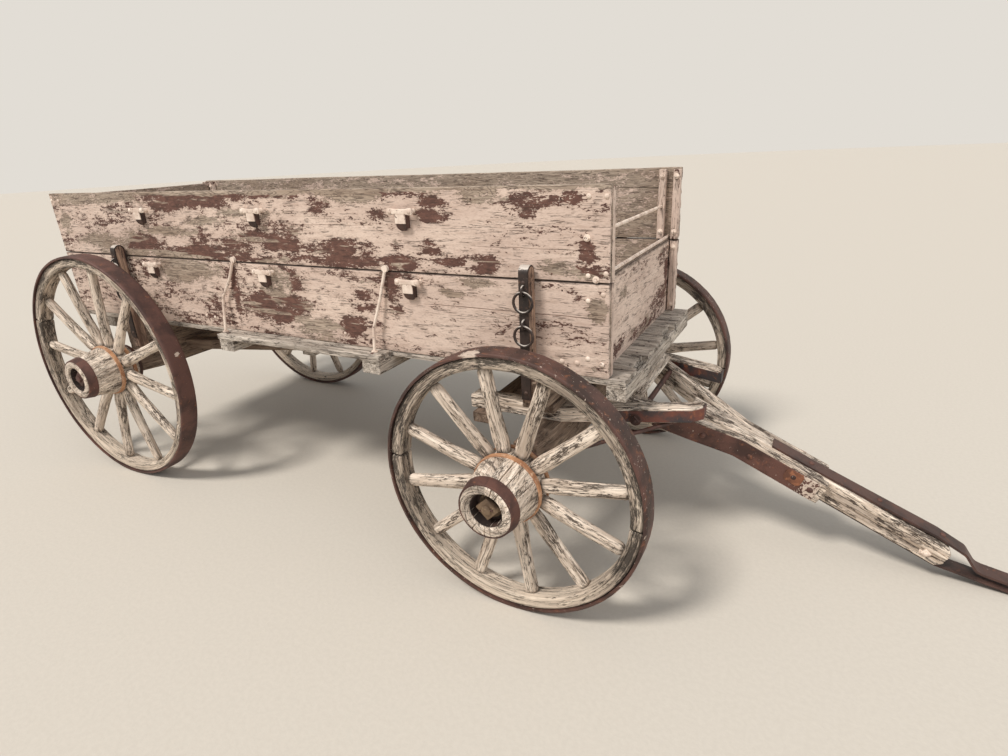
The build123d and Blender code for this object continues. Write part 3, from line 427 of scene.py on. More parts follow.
def lathe(build, base, axis, profile, around, material=0):
    """A bolt head, nut or washer: (distance along the axis, radius) from base outwards."""
    axis = Vector(axis).normalized()
    side = axis.orthogonal().normalized()
    up = axis.cross(side)
    verts = []
    for d, r in profile:
        for k in range(around):
            a = 2 * math.pi * (k + 0.5) / around
            verts.append(Vector(base) + axis * d + (side * math.cos(a) + up * math.sin(a)) * r)
    build.add([tuple(v) for v in verts], capped(len(profile), around), material)


def bolt_head(build, base, axis, radius, height):
    """A domed carriage-bolt head."""
    steps = (0.0, 0.35, 0.62, 0.84, 1.0)
    lathe(build, base, axis, [(height * s, radius * math.sqrt(1 - s * s * 0.96)) for s in steps], 18)


def nut_on_washer(build, base, axis, size, material=0, stub=0.006):
    """A square nut on a round washer, with the bolt's end standing out of it."""
    washer = [(0, size * 1.7), (0.0022, size * 1.7), (0.0028, size * 1.6)]
    lathe(build, base, axis, washer, 24, material)
    nut, high = size * 1.38, size * 0.95
    lathe(build, base, axis, [(0.0028, nut), (high - 0.0015, nut), (high, nut * 0.86)], 4, material)
    end = Vector(base) + Vector(axis).normalized() * high
    bolt = [(0, size * 0.55), (stub - 0.001, size * 0.55), (stub, size * 0.45)]
    lathe(build, end, axis, bolt, 14, material)


# Materials


def rgb(*screen):
    """A colour given as it looks on screen, 0 to 255, as the shader wants it."""
    c = np.array(screen) / 255
    return (*np.where(c < 0.04045, c / 12.92, ((c + 0.055) / 1.055) ** 2.4), 1.0)


def add_node(tree, kind, inputs=None, **settings):
    """A shader node, its inputs set to values or linked to other nodes' sockets."""
    node = tree.nodes.new("ShaderNode" + kind)
    for key, value in settings.items():
        setattr(node, key, value)
    for key, value in (inputs or {}).items():
        if isinstance(value, bpy.types.NodeSocket):
            tree.links.new(value, node.inputs[key])
        else:
            node.inputs[key].default_value = value
    return node


class Finish:
    """Builds one material's nodes in a few words. Colours are as on screen, 0 to 255."""

    def __init__(self, name, cad=False):
        self.material = bpy.data.materials.new(name)
        self.material.use_nodes = True
        self.material.node_tree.nodes.clear()
        self.place = self.node("TexCoord").outputs["Object"] if cad else self.field("grain", "Vector")

    def node(self, kind, inputs=None, **settings):
        return add_node(self.material.node_tree, kind, inputs, **settings)

    def field(self, name, output="Fac"):
        return self.node("Attribute", attribute_name=name).outputs[output]

    def noise(self, scale, detail, rough, warp=0.0, shift=0.0):
        """Noise from 0 to 1. scale is how fine it is, or how fine along the grain and across it."""
        along, across = scale if isinstance(scale, tuple) else (scale, scale)
        spot = (shift, shift * 0.37, shift * 0.71)
        at = self.node("Mapping", {"Vector": self.place, "Scale": (along, across, across), "Location": spot})
        inputs = {"Vector": at.outputs[0], "Scale": 1.0, "Detail": detail}
        return self.node("TexNoise", {**inputs, "Roughness": rough, "Distortion": warp}).outputs["Fac"]

    def math(self, kind, *values):
        return self.node("Math", dict(enumerate(values)), operation=kind).outputs[0]

    def plus(self, value, share, other):
        """A share of one value, added to another."""
        return self.math("MULTIPLY_ADD", value, share, other)

    def both(self, a, b):
        """The product of two values: what both allow."""
        return self.math("MULTIPLY", a, b)

    def above(self, value, low, high):
        """0 below low, 1 above high, with a soft step between."""
        inputs = {"Value": value, "From Min": low, "From Max": high}
        return self.node("MapRange", inputs, interpolation_type="SMOOTHSTEP").outputs[0]

    def line(self, value, at, wide):
        """1 along the thin line where a noise crosses a value."""
        off = self.math("ABSOLUTE", self.math("SUBTRACT", value, at))
        return self.math("SUBTRACT", 1.0, self.above(off, wide * 0.3, wide))

    def mix(self, under, over, where, strength=None):
        """One colour laid over another, where it lies and how much it covers there."""
        share = where if strength is None else self.both(where, strength)
        under, over = (rgb(*c) if isinstance(c, tuple) else c for c in (under, over))
        return self.node("Mix", {0: share, 6: under, 7: over}, data_type="RGBA").outputs[2]

    def done(self, colour, rough, height, deep, metal=0.0, shine=0.35):
        """The material, its surface raised by a height from 0 to 1, deep metres at most."""
        bump = self.node("Bump", {"Strength": 1.0, "Distance": deep, "Height": height})
        inputs = {"Base Color": colour, "Roughness": rough, "Normal": bump.outputs[0]}
        shader = self.node("BsdfPrincipled", {**inputs, "Metallic": metal, "Specular IOR Level": shine})
        self.node("OutputMaterial", {"Surface": shader.outputs[0]})
        return self.material


def bare_wood(name, pale, mid, dark, black, dirt, shift, fine=1.0):
    """Weathered wood: fibres, grey and bleached patches, black flaking along the grain, and painted shade
    where the field shade lies.
    """
    f = Finish(name)
    tone = f.noise((2.6, 18), 4, 0.6, shift=shift)
    streak = f.noise((6.5, 70 * fine), 5, 0.64, 0.2, shift + 3)
    fibre = f.noise((16, 460 * fine), 3, 0.6, 0.0, shift + 5)
    speck = f.noise((40, 215 * fine), 7, 0.72, 0.15, shift + 9)
    where = f.noise((8, 30), 4, 0.62, shift=shift + 13)
    hair = f.line(f.noise((3.2, 62 * fine), 4, 0.55, 0.3, shift + 17), 0.5, 0.02)
    level = f.plus(f.field("mark"), -0.12, f.plus(where, 0.8, speck))
    soil = 0.16 * dirt
    marks = f.math("MAXIMUM", f.above(level, 1.11 - soil, 1.14 - soil), f.both(hair, 0.85))
    colour = f.mix(mid, pale, f.above(streak, 0.38, 0.64))
    colour = f.mix(colour, dark, f.above(tone, 0.46, 0.66), 0.6)
    colour = f.mix(colour, dark, f.above(fibre, 0.48, 0.72), 0.45)
    colour = f.mix(colour, dark, f.above(level, 1.02 - soil, 1.13 - soil), 0.34)
    colour = f.mix(colour, pale, f.field("mark"), 0.5)
    colour = f.mix(colour, black, marks, 0.88)
    # painted shade: the field shade darkens the wood towards black in the gaps between parts
    colour = f.mix(colour, black, f.field("shade"), 0.85)
    height = f.math("SUBTRACT", f.plus(streak, 0.5, f.both(fibre, 0.35)), f.both(marks, 0.5))
    return f.done(colour, f.plus(fibre, 0.15, 0.74), height, 0.0026)


def flaked_paint(name, shift=0.0, wear=0.0):
    """Cream paint flaking off brown primer and grey wood, led by the fields loss and bare, with painted
    shade where the field shade lies.
    """
    f = Finish(name)
    wide = f.noise((6, 17), 8, 0.64, 0.25, shift)
    fine = f.noise((32, 84), 6, 0.68, 0.15, shift + 5)
    chip = f.noise((90, 220), 4, 0.65, 0.1, shift + 8)
    area = f.noise((2.2, 7), 4, 0.55, shift=shift + 15)
    mottle = f.noise((70, 240), 3, 0.6, shift=shift + 21)
    grime = f.noise((10, 62), 5, 0.62, 0.1, shift + 25)
    fibre = f.noise((9, 330), 3, 0.6, 0.1, shift + 31)
    swirl = f.noise((3.6, 26), 2, 0.5, 1.0, shift + 37)
    level = f.plus(fine, 1.5, f.plus(wide, 1.9, f.both(f.field("loss"), 0.58)))
    level = f.plus(chip, 1.0, level)
    lost = f.above(level, 2.56 - wear, 2.59 - wear)
    crack = f.line(f.noise((6, 120), 4, 0.55, 0.2, shift + 11), 0.5, 0.034)
    crack = f.both(crack, f.above(f.noise((17, 55), 3, 0.6, shift=shift + 2), 0.48, 0.58))
    paint = f.mix((221, 199, 183), (208, 185, 170), f.above(area, 0.38, 0.62))
    paint = f.mix(paint, (176, 150, 134), f.above(grime, 0.47, 0.70), 0.5)
    paint = f.mix(paint, (180, 154, 138), f.above(level, 2.24 - wear, 2.56 - wear), 0.4)
    paint = f.mix(paint, (166, 142, 127), f.above(mottle, 0.46, 0.68), 0.34)
    primer = f.mix((112, 79, 68), (88, 62, 54), f.above(fine, 0.38, 0.62))
    rings = f.above(f.math("SINE", f.both(swirl, 95.0)), 0.1, 0.95)
    wood = f.mix((186, 168, 150), (140, 122, 107), f.above(fibre, 0.38, 0.66))
    wood = f.mix(wood, (146, 124, 106), f.above(area, 0.45, 0.62), 0.5)
    wood = f.mix(wood, (76, 64, 55), rings, 0.55)
    worn = f.plus(f.field("bare"), 0.6, f.plus(grime, 0.4, swirl))
    colour = f.mix(paint, f.mix(primer, wood, f.above(worn, 0.80, 0.86)), lost)
    colour = f.mix(colour, (82, 64, 54), crack, 0.72)
    # painted shade: the paint darkens along the board seam where the field shade lies
    colour = f.mix(colour, (62, 46, 39), f.field("shade"), 0.8)
    height = f.math("SUBTRACT", f.math("SUBTRACT", 1.0, f.both(lost, 0.55)), f.both(crack, 0.5))
    return f.done(colour, f.plus(lost, 0.10, 0.68), f.plus(fibre, 0.22, height), 0.0016)


def rusted_iron(name, base, deep, bright, flecks, orange, shift, cad=False, rough=0.62, worn=None):
    """Rusted iron: brown, with pits, brighter rust, old paint flecks and the field mark's splash.

    worn is the colour of a painted highlight on its upward faces, partly rubbed bright metal.
    """
    f = Finish(name, cad)
    tone = f.noise(9, 5, 0.6, 0.2, shift)
    pit = f.noise(240, 4, 0.6, 0.0, shift + 3)
    rust = f.noise(34, 6, 0.66, 0.4, shift + 6)
    speck = f.noise(95, 6, 0.66, 0.2, shift + 12)
    glow, fleck = 0.16 * orange, 0.06 * flecks
    paint = f.above(f.plus(f.field("mark"), 0.42, speck), 0.725 - fleck, 0.74 - fleck)
    colour = f.mix(base, deep, f.above(tone, 0.38, 0.62))
    colour = f.mix(colour, bright, f.above(rust, 0.62 - glow, 0.78 - glow), 0.75)
    colour = f.mix(colour, deep, f.above(pit, 0.52, 0.72), 0.45)
    colour = f.mix(colour, (208, 190, 174), paint, 0.9)
    if worn:
        # painted highlight: faces that point up turn towards the pale colour worn, partly as rubbed metal
        normal = f.node("SeparateXYZ", {0: f.node("NewGeometry").outputs["Normal"]})
        colour = f.mix(colour, worn, f.above(f.plus(speck, 0.9, normal.outputs[2]), 0.95, 1.15), 0.85)
    height = f.plus(paint, 0.3, f.plus(pit, 0.5, f.both(rust, 0.5)))
    return f.done(colour, f.plus(rust, 0.25, rough - 0.12), height, 0.0009, 0.15, 0.45)


def painted_iron(name, shift, wear, cad=False):
    """Cream paint on iron, chipped to brown rust."""
    f = Finish(name, cad)
    tone = f.noise(14, 4, 0.6, 0.0, shift + 3)
    chip = 0.25 * wear
    lost = f.above(f.noise(70, 6, 0.66, 0.3, shift), 0.68 - chip, 0.70 - chip)
    paint = f.mix((234, 216, 200), (208, 186, 170), f.above(tone, 0.4, 0.6))
    height = f.math("SUBTRACT", 1.0, f.both(lost, 0.8))
    return f.done(f.mix(paint, (96, 66, 56), lost), 0.6, height, 0.0008)


SIDE_PAINT = flaked_paint("side_paint")
GATE_PAINT = flaked_paint("gate_paint", 40.0, -0.02)
CLEAT_PAINT = flaked_paint("cleat_paint", 71.0, 0.02)
GREY_WOOD = bare_wood("grey_wood", (216, 204, 190), (172, 160, 147), (122, 110, 99), (56, 47, 41), 0.62, 4.0)
SPOKE_WOOD = bare_wood(
    "spoke_wood", (244, 228, 210), (206, 188, 170), (154, 136, 119), (58, 47, 39), 0.80, 9.0
)
RIM_WOOD = bare_wood(
    "rim_wood", (222, 205, 185), (166, 149, 133), (112, 99, 87), (52, 46, 41), 1.14, 17.0, 1.35
)
HUB_WOOD = bare_wood(
    "hub_wood", (246, 230, 212), (206, 188, 170), (162, 143, 126), (58, 47, 39), 0.82, 23.0, 1.2
)
TONGUE_WOOD = bare_wood(
    "tongue_wood", (250, 234, 216), (198, 179, 160), (126, 108, 93), (54, 42, 35), 0.94, 31.0, 0.95
)
# brown gear timber, made darker as painted shade for the parts under the box
SHADED_GEAR_WOOD = bare_wood("gear_wood", (150, 130, 112), (122, 102, 87), (92, 74, 62), (46, 36, 30), 0.45, 43.0)
STAKE_WOOD = bare_wood("stake_wood", (182, 152, 130), (122, 95, 80), (88, 66, 55), (44, 33, 28), 0.6, 47.0)
TYRE_IRON = rusted_iron("tyre_iron", (92, 64, 56), (58, 42, 37), (144, 92, 64), 1.45, 0.42, 3.0)
REAR_TYRE_IRON = rusted_iron("rear_tyre_iron", (96, 66, 58), (66, 46, 41), (138, 90, 64), 0.7, 0.30, 7.0)
BAND_IRON = rusted_iron("band_iron", (98, 66, 57), (68, 46, 41), (140, 90, 64), 0.45, 0.3, 11.0)
ORANGE_IRON = rusted_iron(
    "orange_iron", (196, 148, 110), (152, 106, 76), (214, 182, 154), 0.6, 0.8, 19.0, rough=0.75
)
STRAP_IRON = rusted_iron("strap_iron", (98, 66, 57), (62, 42, 37), (142, 90, 62), 0.9, 0.35, 27.0)
DARK_IRON = rusted_iron("dark_iron", (70, 54, 48), (44, 35, 32), (112, 72, 54), 0.2, 0.2, 35.0)
# dark rusty iron that also paints the shadow under the staples' bars
POCKET_SHADE_IRON = rusted_iron("pocket_shade_iron", (92, 68, 60), (62, 47, 42), (124, 84, 66), 0.3, 0.2, 61.0)
NUT_IRON = rusted_iron("nut_iron", (122, 100, 78), (78, 61, 48), (166, 142, 112), 0.4, 0.6, 51.0)
WORN_IRON = rusted_iron("worn_iron", (92, 72, 62), (60, 46, 41), (150, 112, 84), 0.5, 0.4, 57.0)
RUST_CLIP = rusted_iron("rust_clip", (132, 84, 60), (96, 62, 48), (166, 110, 78), 0.2, 0.8, 63.0)
CREAM_IRON = painted_iron("cream_iron", 5.0, 0.2)
CAD_IRON = rusted_iron("gear_iron", (92, 62, 54), (60, 42, 37), (144, 88, 58), 0.3, 0.35, 41.0, True)
CAD_STRAP = rusted_iron(
    "long_strap_iron", (84, 60, 53), (56, 41, 37), (124, 78, 56), 0.3, 0.35, 45.0, True, 0.56
)
CAD_RED = rusted_iron("hound_iron", (112, 66, 54), (58, 54, 55), (150, 92, 64), 0.3, 0.5, 49.0, True)
# the stake irons: the pale colour on their upward faces is a painted highlight, partly worn metal
CAD_WORN_HIGHLIT = rusted_iron(
    "stake_iron", (66, 52, 46), (40, 32, 29), (118, 86, 68), 0.55, 0.3, 53.0, True, 0.5, (206, 196, 186)
)
CAD_CREAM = painted_iron("painted_iron", 13.0, 0.3, True)


# Camera, light and floor


def look():
    """The camera that was fitted to the photograph's own lines."""
    yaw, pitch, roll = 0.5012, -0.3685, -0.0511
    place = (0.8808 + AXLE_X, -2.3979, 1.6129)
    ahead = Vector((-math.sin(yaw) * math.cos(pitch), math.cos(yaw) * math.cos(pitch), math.sin(pitch)))
    level = Vector((math.cos(yaw), math.sin(yaw), 0.0))
    above = level.cross(ahead)
    right = math.cos(roll) * level + math.sin(roll) * above
    top = -math.sin(roll) * level + math.cos(roll) * above
    data = bpy.data.cameras.new("camera")
    data.sensor_width = 36.0
    data.lens = 21.458
    data.clip_start = 0.05
    data.clip_end = 200.0
    camera = link(bpy.data.objects.new("camera", data))
    camera.matrix_world = Matrix.Translation(place) @ Matrix((right, top, -ahead)).transposed().to_4x4()
    bpy.context.scene.camera = camera


def sun(name, energy, spread, way, colour=(1.0, 1.0, 1.0)):
    """A lamp that shines from a far place. spread is how wide it looks, in degrees."""
    lamp = bpy.data.lights.new(name, "SUN")
    lamp.energy = energy
    lamp.angle = math.radians(spread)
    lamp.color = colour
    obj = link(bpy.data.objects.new(name, lamp))
    obj.rotation_mode = "QUATERNION"
    obj.rotation_quaternion = Vector(way).to_track_quat("Z", "Y")


def light():
    """A broad high key from behind the camera's left, a soft fill, and an even pale surround."""
    sun("key", 2.85, 14, (-0.30, -0.62, 0.95), (1.0, 0.965, 0.92))
    sun("fill", 0.95, 60, (0.85, -0.30, 0.45))
    world = bpy.data.worlds.new("surround")
    bpy.context.scene.world = world
    world.use_nodes = True
    tree = world.node_tree
    tree.nodes.clear()
    path = add_node(tree, "LightPath").outputs
    seen = path["Is Camera Ray"]
    for name in ("Is Glossy Ray", "Is Transmission Ray"):
        seen = add_node(tree, "Math", {0: seen, 1: path[name]}, operation="MAXIMUM").outputs[0]
    lit = add_node(tree, "Background", {0: (0.93, 0.96, 1.0, 1.0), 1: 0.45})
    plain = add_node(tree, "Background", {0: rgb(226, 221, 213), 1: 1.0})
    mixed = add_node(tree, "MixShader", {0: seen, 1: lit.outputs[0], 2: plain.outputs[0]})
    add_node(tree, "OutputWorld", {0: mixed.outputs[0]})


def floor():
    """A plain pale floor, wide enough to reach the horizon."""
    radius, corners = 60.0, 96
    f = Finish("floor", True)
    grain = f.noise(60, 4, 0.6)
    colour = f.mix((204, 196, 184), (200, 192, 180), f.above(grain, 0.3, 0.7))
    angles = np.linspace(0, 2 * math.pi, corners, endpoint=False)
    ring = [(radius * math.cos(a), radius * math.sin(a), 0.0) for a in angles]
    obj = add_mesh("floor", ring, [tuple(range(corners))], f.done(colour, 0.9, grain, 0.0006))


bpy.context.scene.view_settings.view_transform = "Standard"
look()
light()
floor()


# Shapes used by several groups


def random_checks(seed, length, sides, count, wide=0.003, deep=0.006):
    """Drying cracks on some sides of a timber, most of them open at one end."""
    rng = np.random.default_rng(seed)
    checks = []
    for side in sides:
        for k in range(count):
            place = side + FLAT * (k + rng.uniform(0.25, 0.75)) / count
            reach = length * rng.uniform(0.25, 0.6)
            kind = rng.integers(3)
            start = (0.0, length - reach, rng.uniform(0.1, 0.9) * (length - reach))[kind]
            end = (reach, length, start + reach)[kind]
            share = rng.uniform(0.6, 1.3)
            checks.append(Check(place, start, end, wide * share, deep * share))
    return checks


def beam(build, box, axis, seed, sides, cracks, **more):
    """A straight weathered timber in a box, with cracks on the sides that show."""
    checks = random_checks(seed, box[1][axis] - box[0][axis], sides, cracks)
    timber(build, straight(*box, axis), seed, checks=checks, **more)


def lying(rows):
    """Stations of a timber that lies along the wagon, from (centre, half width, half height)."""
    return [(centre, Y, Z, half_w, half_h) for centre, half_w, half_h in rows]


def crack_rows(*rows):
    """Cracks from rows of their place, start, end, width and depth."""
    return [Check(*row) for row in rows]


def side_of(box):
    """Which side of the wagon a box is on, and the middle of its length."""
    lo, hi = box
    return (1 if lo[1] > 0 else -1), (lo[0] + hi[0]) / 2


# Wheels


AXLES = {"front": (0.0, FRONT_RADIUS, FRONT_FACE), "rear": (-WHEELBASE, REAR_RADIUS, REAR_FACE)}
MID_TYRE = HUB_OUT + TYRE_WIDTH / 2
SPOKE_COUNT = 12
HUB_CHECKS = 15

# What a spoke's section is at a share of its length: half width, half depth and dish outwards.
SPOKE_SHAPE = (
    (0.098, 0.0240, 0.0205, 0.0140),
    (0.128, 0.0255, 0.0210, 0.0140),
    (0.165, 0.0285, 0.0220, 0.0125),
    (0.22, 0.0290, 0.0220, 0.0100),
    (0.42, 0.0258, 0.0205, 0.0050),
    (0.72, 0.0245, 0.0195, 0.0018),
    (0.90, 0.0250, 0.0192, 0.0006),
    (0.955, 0.0245, 0.0188, 0.0003),
    (0.985, 0.0205, 0.0160, 0.0001),
    (1.00, 0.0150, 0.0125, 0.0),
    (1.02, 0.0140, 0.0115, 0.0),
)
SPOKE_FOOT = 0.165

# Old paint on the tyres: angle, place across, half angle and half width.
TYRE_SPLASH = {
    "wheel_front_right": ((-18.5, 0.160, 2.6, 0.018), (-15.5, 0.150, 1.8, 0.012)),
    "wheel_rear_right": ((52.0, 0.19, 0.8, 0.012),),
}

# A wheel as its parts need it. place moves their own points into the wagon's place.
Wheel = namedtuple("Wheel", "name place radius seed")


def hub_radius(a):
    """The hub's outside at a distance in from its outer end."""
    return float(np.interp(a, (0.0, 0.1525, 0.2405, 0.2625, 0.288), (0.096, 0.126, 0.126, 0.108, 0.096)))


def wheel_place(end, sign, turn=0.0):
    """Where a wheel's own points go: y is the distance in from the hub's outer end."""
    x, radius, face = AXLES[end]
    c, s = math.cos(math.radians(turn)), math.sin(math.radians(turn))

    def place(points):
        a, y, b = np.asarray(points, float).T
        return np.stack([x + a * c + b * s, sign * (face + HUB_OUT - y), radius - a * s + b * c], axis=1)

    return place


def ring_shade(place, start, full):
    """A field of painted shade that darkens a wheel's points from one distance off its axle to another."""
    centre = place(np.zeros((1, 3)))[0]

    def shade(verts):
        off = np.hypot(verts[:, 0] - centre[0], verts[:, 2] - centre[2])
        return np.clip((off - start) / (full - start), 0, 1)

    return shade


def tyre(build, wheel):
    """The iron tyre: slightly crowned, with small round edges."""
    a0, a1 = HUB_OUT, HUB_OUT + TYRE_WIDTH
    crown = [(a, -0.0012 * ((a - MID_TYRE) / 0.045) ** 4) for a in np.linspace(a0 + 0.004, a1 - 0.004, 9)]
    profile = [(a0, -TYRE_THICK), (a0, -0.0045), (a0 + 0.0012, -0.0022), *crown]
    profile += [(a1 - 0.0012, -0.0022), (a1, -0.0045), (a1, -TYRE_THICK)]
    profile = [(a, wheel.radius + out) for a, out in profile]
    marks = TYRE_SPLASH.get(wheel.name, ())
    turned(build, profile, wheel.place, wheel.seed, 220, 0.0006, 0.0010, marks=marks)


def rim(build, wheel):
    """The two bent halves of the rim, with their joints level with each other."""
    outside = wheel.radius - TYRE_THICK
    middle = outside - FELLOE_DEPTH / 2
    fields = {
        "mark": lambda v: np.clip((0.34 - v[:, 2]) / 0.25, 0, 1),
        # painted shade: the felloe darkens where it meets the tyre
        "shade": ring_shade(wheel.place, outside - 0.008, outside - 0.001),
    }
    gap, steps = 0.17, 61
    for half in range(2):
        stations = []
        for a in np.radians(np.linspace(90 + 180 * half + gap, 270 + 180 * half - gap, steps)):
            out = np.array((math.sin(a), 0, math.cos(a)))
            stations.append((out * middle + (0, MID_TYRE, 0), Y, out, FELLOE_WIDTH / 2, FELLOE_DEPTH / 2))
        seed, length = wheel.seed + half, math.pi * middle
        checks = random_checks(seed, length, (3, 1), 3, 0.0026, 0.005)
        checks += random_checks(seed + 9, length, (2,), 3, 0.0026, 0.004)
        timber(
            build, stations, wheel.seed + 0.37 * half, per_side=(4, 7, 7, 7), radius=0.0085, rough=0.0010,
            wave=0.0005, ragged=0.003, checks=checks, fields=fields, place=wheel.place,
        )


def spokes(build, wheel):
    """Twelve oval spokes: broad at the hub, slim in the middle, with a round shoulder at the rim."""
    inner = wheel.radius - TYRE_THICK - FELLOE_DEPTH
    length = inner - 0.09
    # painted shade: each spoke darkens where it enters the rim and the hub
    rim_end = ring_shade(wheel.place, inner - 0.010, inner)
    hub_end = ring_shade(wheel.place, 0.142, 0.128)
    rng = np.random.default_rng(wheel.seed)
    for i in range(SPOKE_COUNT):
        a = 2 * math.pi * (i + 0.5) / SPOKE_COUNT
        out = np.array((math.sin(a), 0, math.cos(a)))
        across = (math.cos(a), 0, -math.sin(a))
        swell = rng.uniform(0.94, 1.04)
        stations = []
        for share, wide, deep, dish in SPOKE_SHAPE:
            r = share
            if share > SPOKE_FOOT:
                r = SPOKE_FOOT + (inner - SPOKE_FOOT) * (share - SPOKE_FOOT) / (1 - SPOKE_FOOT)
            stations.append((out * r + (0, MID_TYRE + dish, 0), across, Y, wide * swell, deep * swell))
        face = rng.uniform(2.2, 3.6), rng.uniform(0.02, 0.1), rng.uniform(0.2, length)
        back = rng.uniform(0.1, 1.6), rng.uniform(0.02, 0.2), length * rng.uniform(0.6, 1)
        timber(
            build, stations, wheel.seed + i * 1.3, step=0.016, wave=0.0014, ragged=0.0,
            checks=[Check(*crack, 0.002, 0.004, 0.002) for crack in (face, back)], oval=2.5,
            fields={"shade": lambda v: np.maximum(rim_end(v), hub_end(v))}, place=wheel.place,
        )


def hub(build, wheel):
    """The turned hub: a deep cup with a round lip, a long cone, and checks along and across it."""
    cup = [(0.060, 0.0295), (0.060, 0.0605), (0.045, 0.0615), (0.028, 0.062), (0.012, 0.0625)]
    lip = [(0.004, 0.0645), (0.001, 0.0665), *((0.0, r) for r in np.linspace(0.070, 0.090, 6))]
    lip += [(0.0008, 0.0925), (0.003, 0.0950)]
    outer = [(a, hub_radius(a)) for a in (*np.linspace(0.008, 0.1525, 22), *np.linspace(0.16, 0.286, 16))]
    profile = cup + lip + outer + [(0.288, 0.092), (0.288, 0.0295)]
    rng = np.random.default_rng(wheel.seed)
    checks = []
    for k in range(HUB_CHECKS):
        angle = (k + rng.uniform(0.2, 0.8)) * 360 / HUB_CHECKS
        checks.append((angle, rng.uniform(0.5, 1.7), rng.uniform(0.004, 0.013), 0.058, 0.135))
    turned(build, profile, wheel.place, wheel.seed, 150, 0.0010, 0.0008, checks=checks)


def hub_ring(build, place, start, end, seed, rough, material, thick=0.005):
    """An iron band round the hub, with rounded edges."""
    lip = 0.0012
    flat = (start + lip, *np.linspace(start + 2 * lip, end - 2 * lip, 6), end - lip)
    profile = [(start, -0.001), (start, thick - lip), *((a, thick) for a in flat)]
    profile += [(end, thick - lip), (end, -0.001)]
    profile = [(a, hub_radius(a) + up) for a, up in profile]
    turned(build, profile, place, seed, 120, rough, rough, material=material)


def hub_irons(build, wheel):
    """The hub's four bands, the sleeve round the axle's arm, and a dark iron sheet in the cup that paints
    the shade inside it, and its grease.
    """
    place, seed = wheel.place, wheel.seed
    hub_ring(build, place, 0.0035, 0.046, seed, 0.0004, 0)
    hub_ring(build, place, 0.1520, 0.1705, seed + 1, 0.0012, 1, 0.0062)
    hub_ring(build, place, 0.2225, 0.2410, seed + 2, 0.0012, 1, 0.0062)
    hub_ring(build, place, 0.2680, 0.2875, seed + 3, 0.0004, 0)
    sleeve = [(0.048, 0.0296), (0.048, 0.0385), (0.0495, 0.0395), (0.0598, 0.0395), (0.0598, 0.0296)]
    turned(build, sleeve, place, seed + 4, 64, 0.0003)
    # painted shade: a dark iron sheet that stands for the shade inside the hub's cup, and for its grease
    shade_lining = [(0.0595, 0.0300), (0.0595, 0.0608), (0.010, 0.0622), (0.011, 0.0600)]
    shade_lining += [(0.056, 0.0585), (0.0565, 0.03)]
    turned(build, shade_lining, place, seed + 5, 90, 0.0009, material=2)


def wheels():
    """The four wheels, each with its tyre, rim, spokes, hub and hub irons."""
    bands = [BAND_IRON, ORANGE_IRON, DARK_IRON]
    for end, turn, iron in (("front", 5.0, TYRE_IRON), ("rear", 23.5, REAR_TYRE_IRON)):
        for side, sign in (("right", -1), ("left", 1)):
            name = f"wheel_{end}_{side}"
            seed = 100 + 37 * len(name) + (5 if side == "left" else 0)
            wheel = Wheel(name, wheel_place(end, sign, turn), AXLES[end][1], seed)
            for make, node, look, slot, materials, sharp in (
                (tyre, "tyre", "worn_tyre", "tyre_iron", [iron], 38.0),
                (rim, "rim", "checked_rim", "rim_wood", [RIM_WOOD], 38.0),
                (spokes, "spokes", "oval_spokes", "spoke_wood", [SPOKE_WOOD], 60.0),
                (hub, "hub", "checked_hub", "hub_wood", [HUB_WOOD], 50.0),
                (hub_irons, "hub_bands", "worn_bands", "band_iron", bands, 38.0),
            ):
                b = Build()
                make(b, wheel)
                b.piece(f"{name}_{look}", name, slot, materials, [f"{name}_{node}"], sharp)


def skeins():
    """Each axle's two arms with their flared collars, nuts and split pins."""
    arm = [(0.058, 0.001), (0.058, 0.029), (0.2915, 0.029), (0.2925, 0.0565), (0.296, 0.058)]
    arm += [(0.302, 0.0555), (0.314, 0.0505), (0.314, 0.001)]
    flange = [(0, 0.036), (0.003, 0.0430), (0.009, 0.0440), (0.0120, 0.0435)]
    nut = [(0.0118, 0.0435), (0.034, 0.0440), (0.0395, 0.0415), (0.0415, 0.036), (0.0415, 0.02)]
    stub = [(0.0405, 0.0175), (0.048, 0.0170), (0.0495, 0.0150), (0.0495, 0.001)]
    pin = ((-0.026, 0, -0.008), (0, 0, 0), (0.021, 0, 0.006), (0.0245, 0.0, 0.0015))
    for end, body, nut_iron in (("front", "front_gear", 1), ("rear", "wagon", 3)):
        b = Build()
        for sign in (-1, 1):
            place = wheel_place(end, sign)
            turned(b, arm, place, 3 + sign, 48, 0.0004)
            base = place(np.array([(0, 0.0578, 0)]))[0]
            lathe(b, base, (0, sign, 0), flange, 28, nut_iron)
            lathe(b, base, (0, sign, 0), nut, 4, nut_iron)
            lathe(b, base, (0, sign, 0), stub, 24, nut_iron)
            rod(b, base + (0, sign * 0.0455, 0) + np.array(pin), 0.0026, 8, 2)
        irons = [DARK_IRON, NUT_IRON, STRAP_IRON, BAND_IRON]
        b.piece(f"{end}_skeins_and_nuts", body, "gear_iron", irons, [f"{end}_skeins"])


# Box


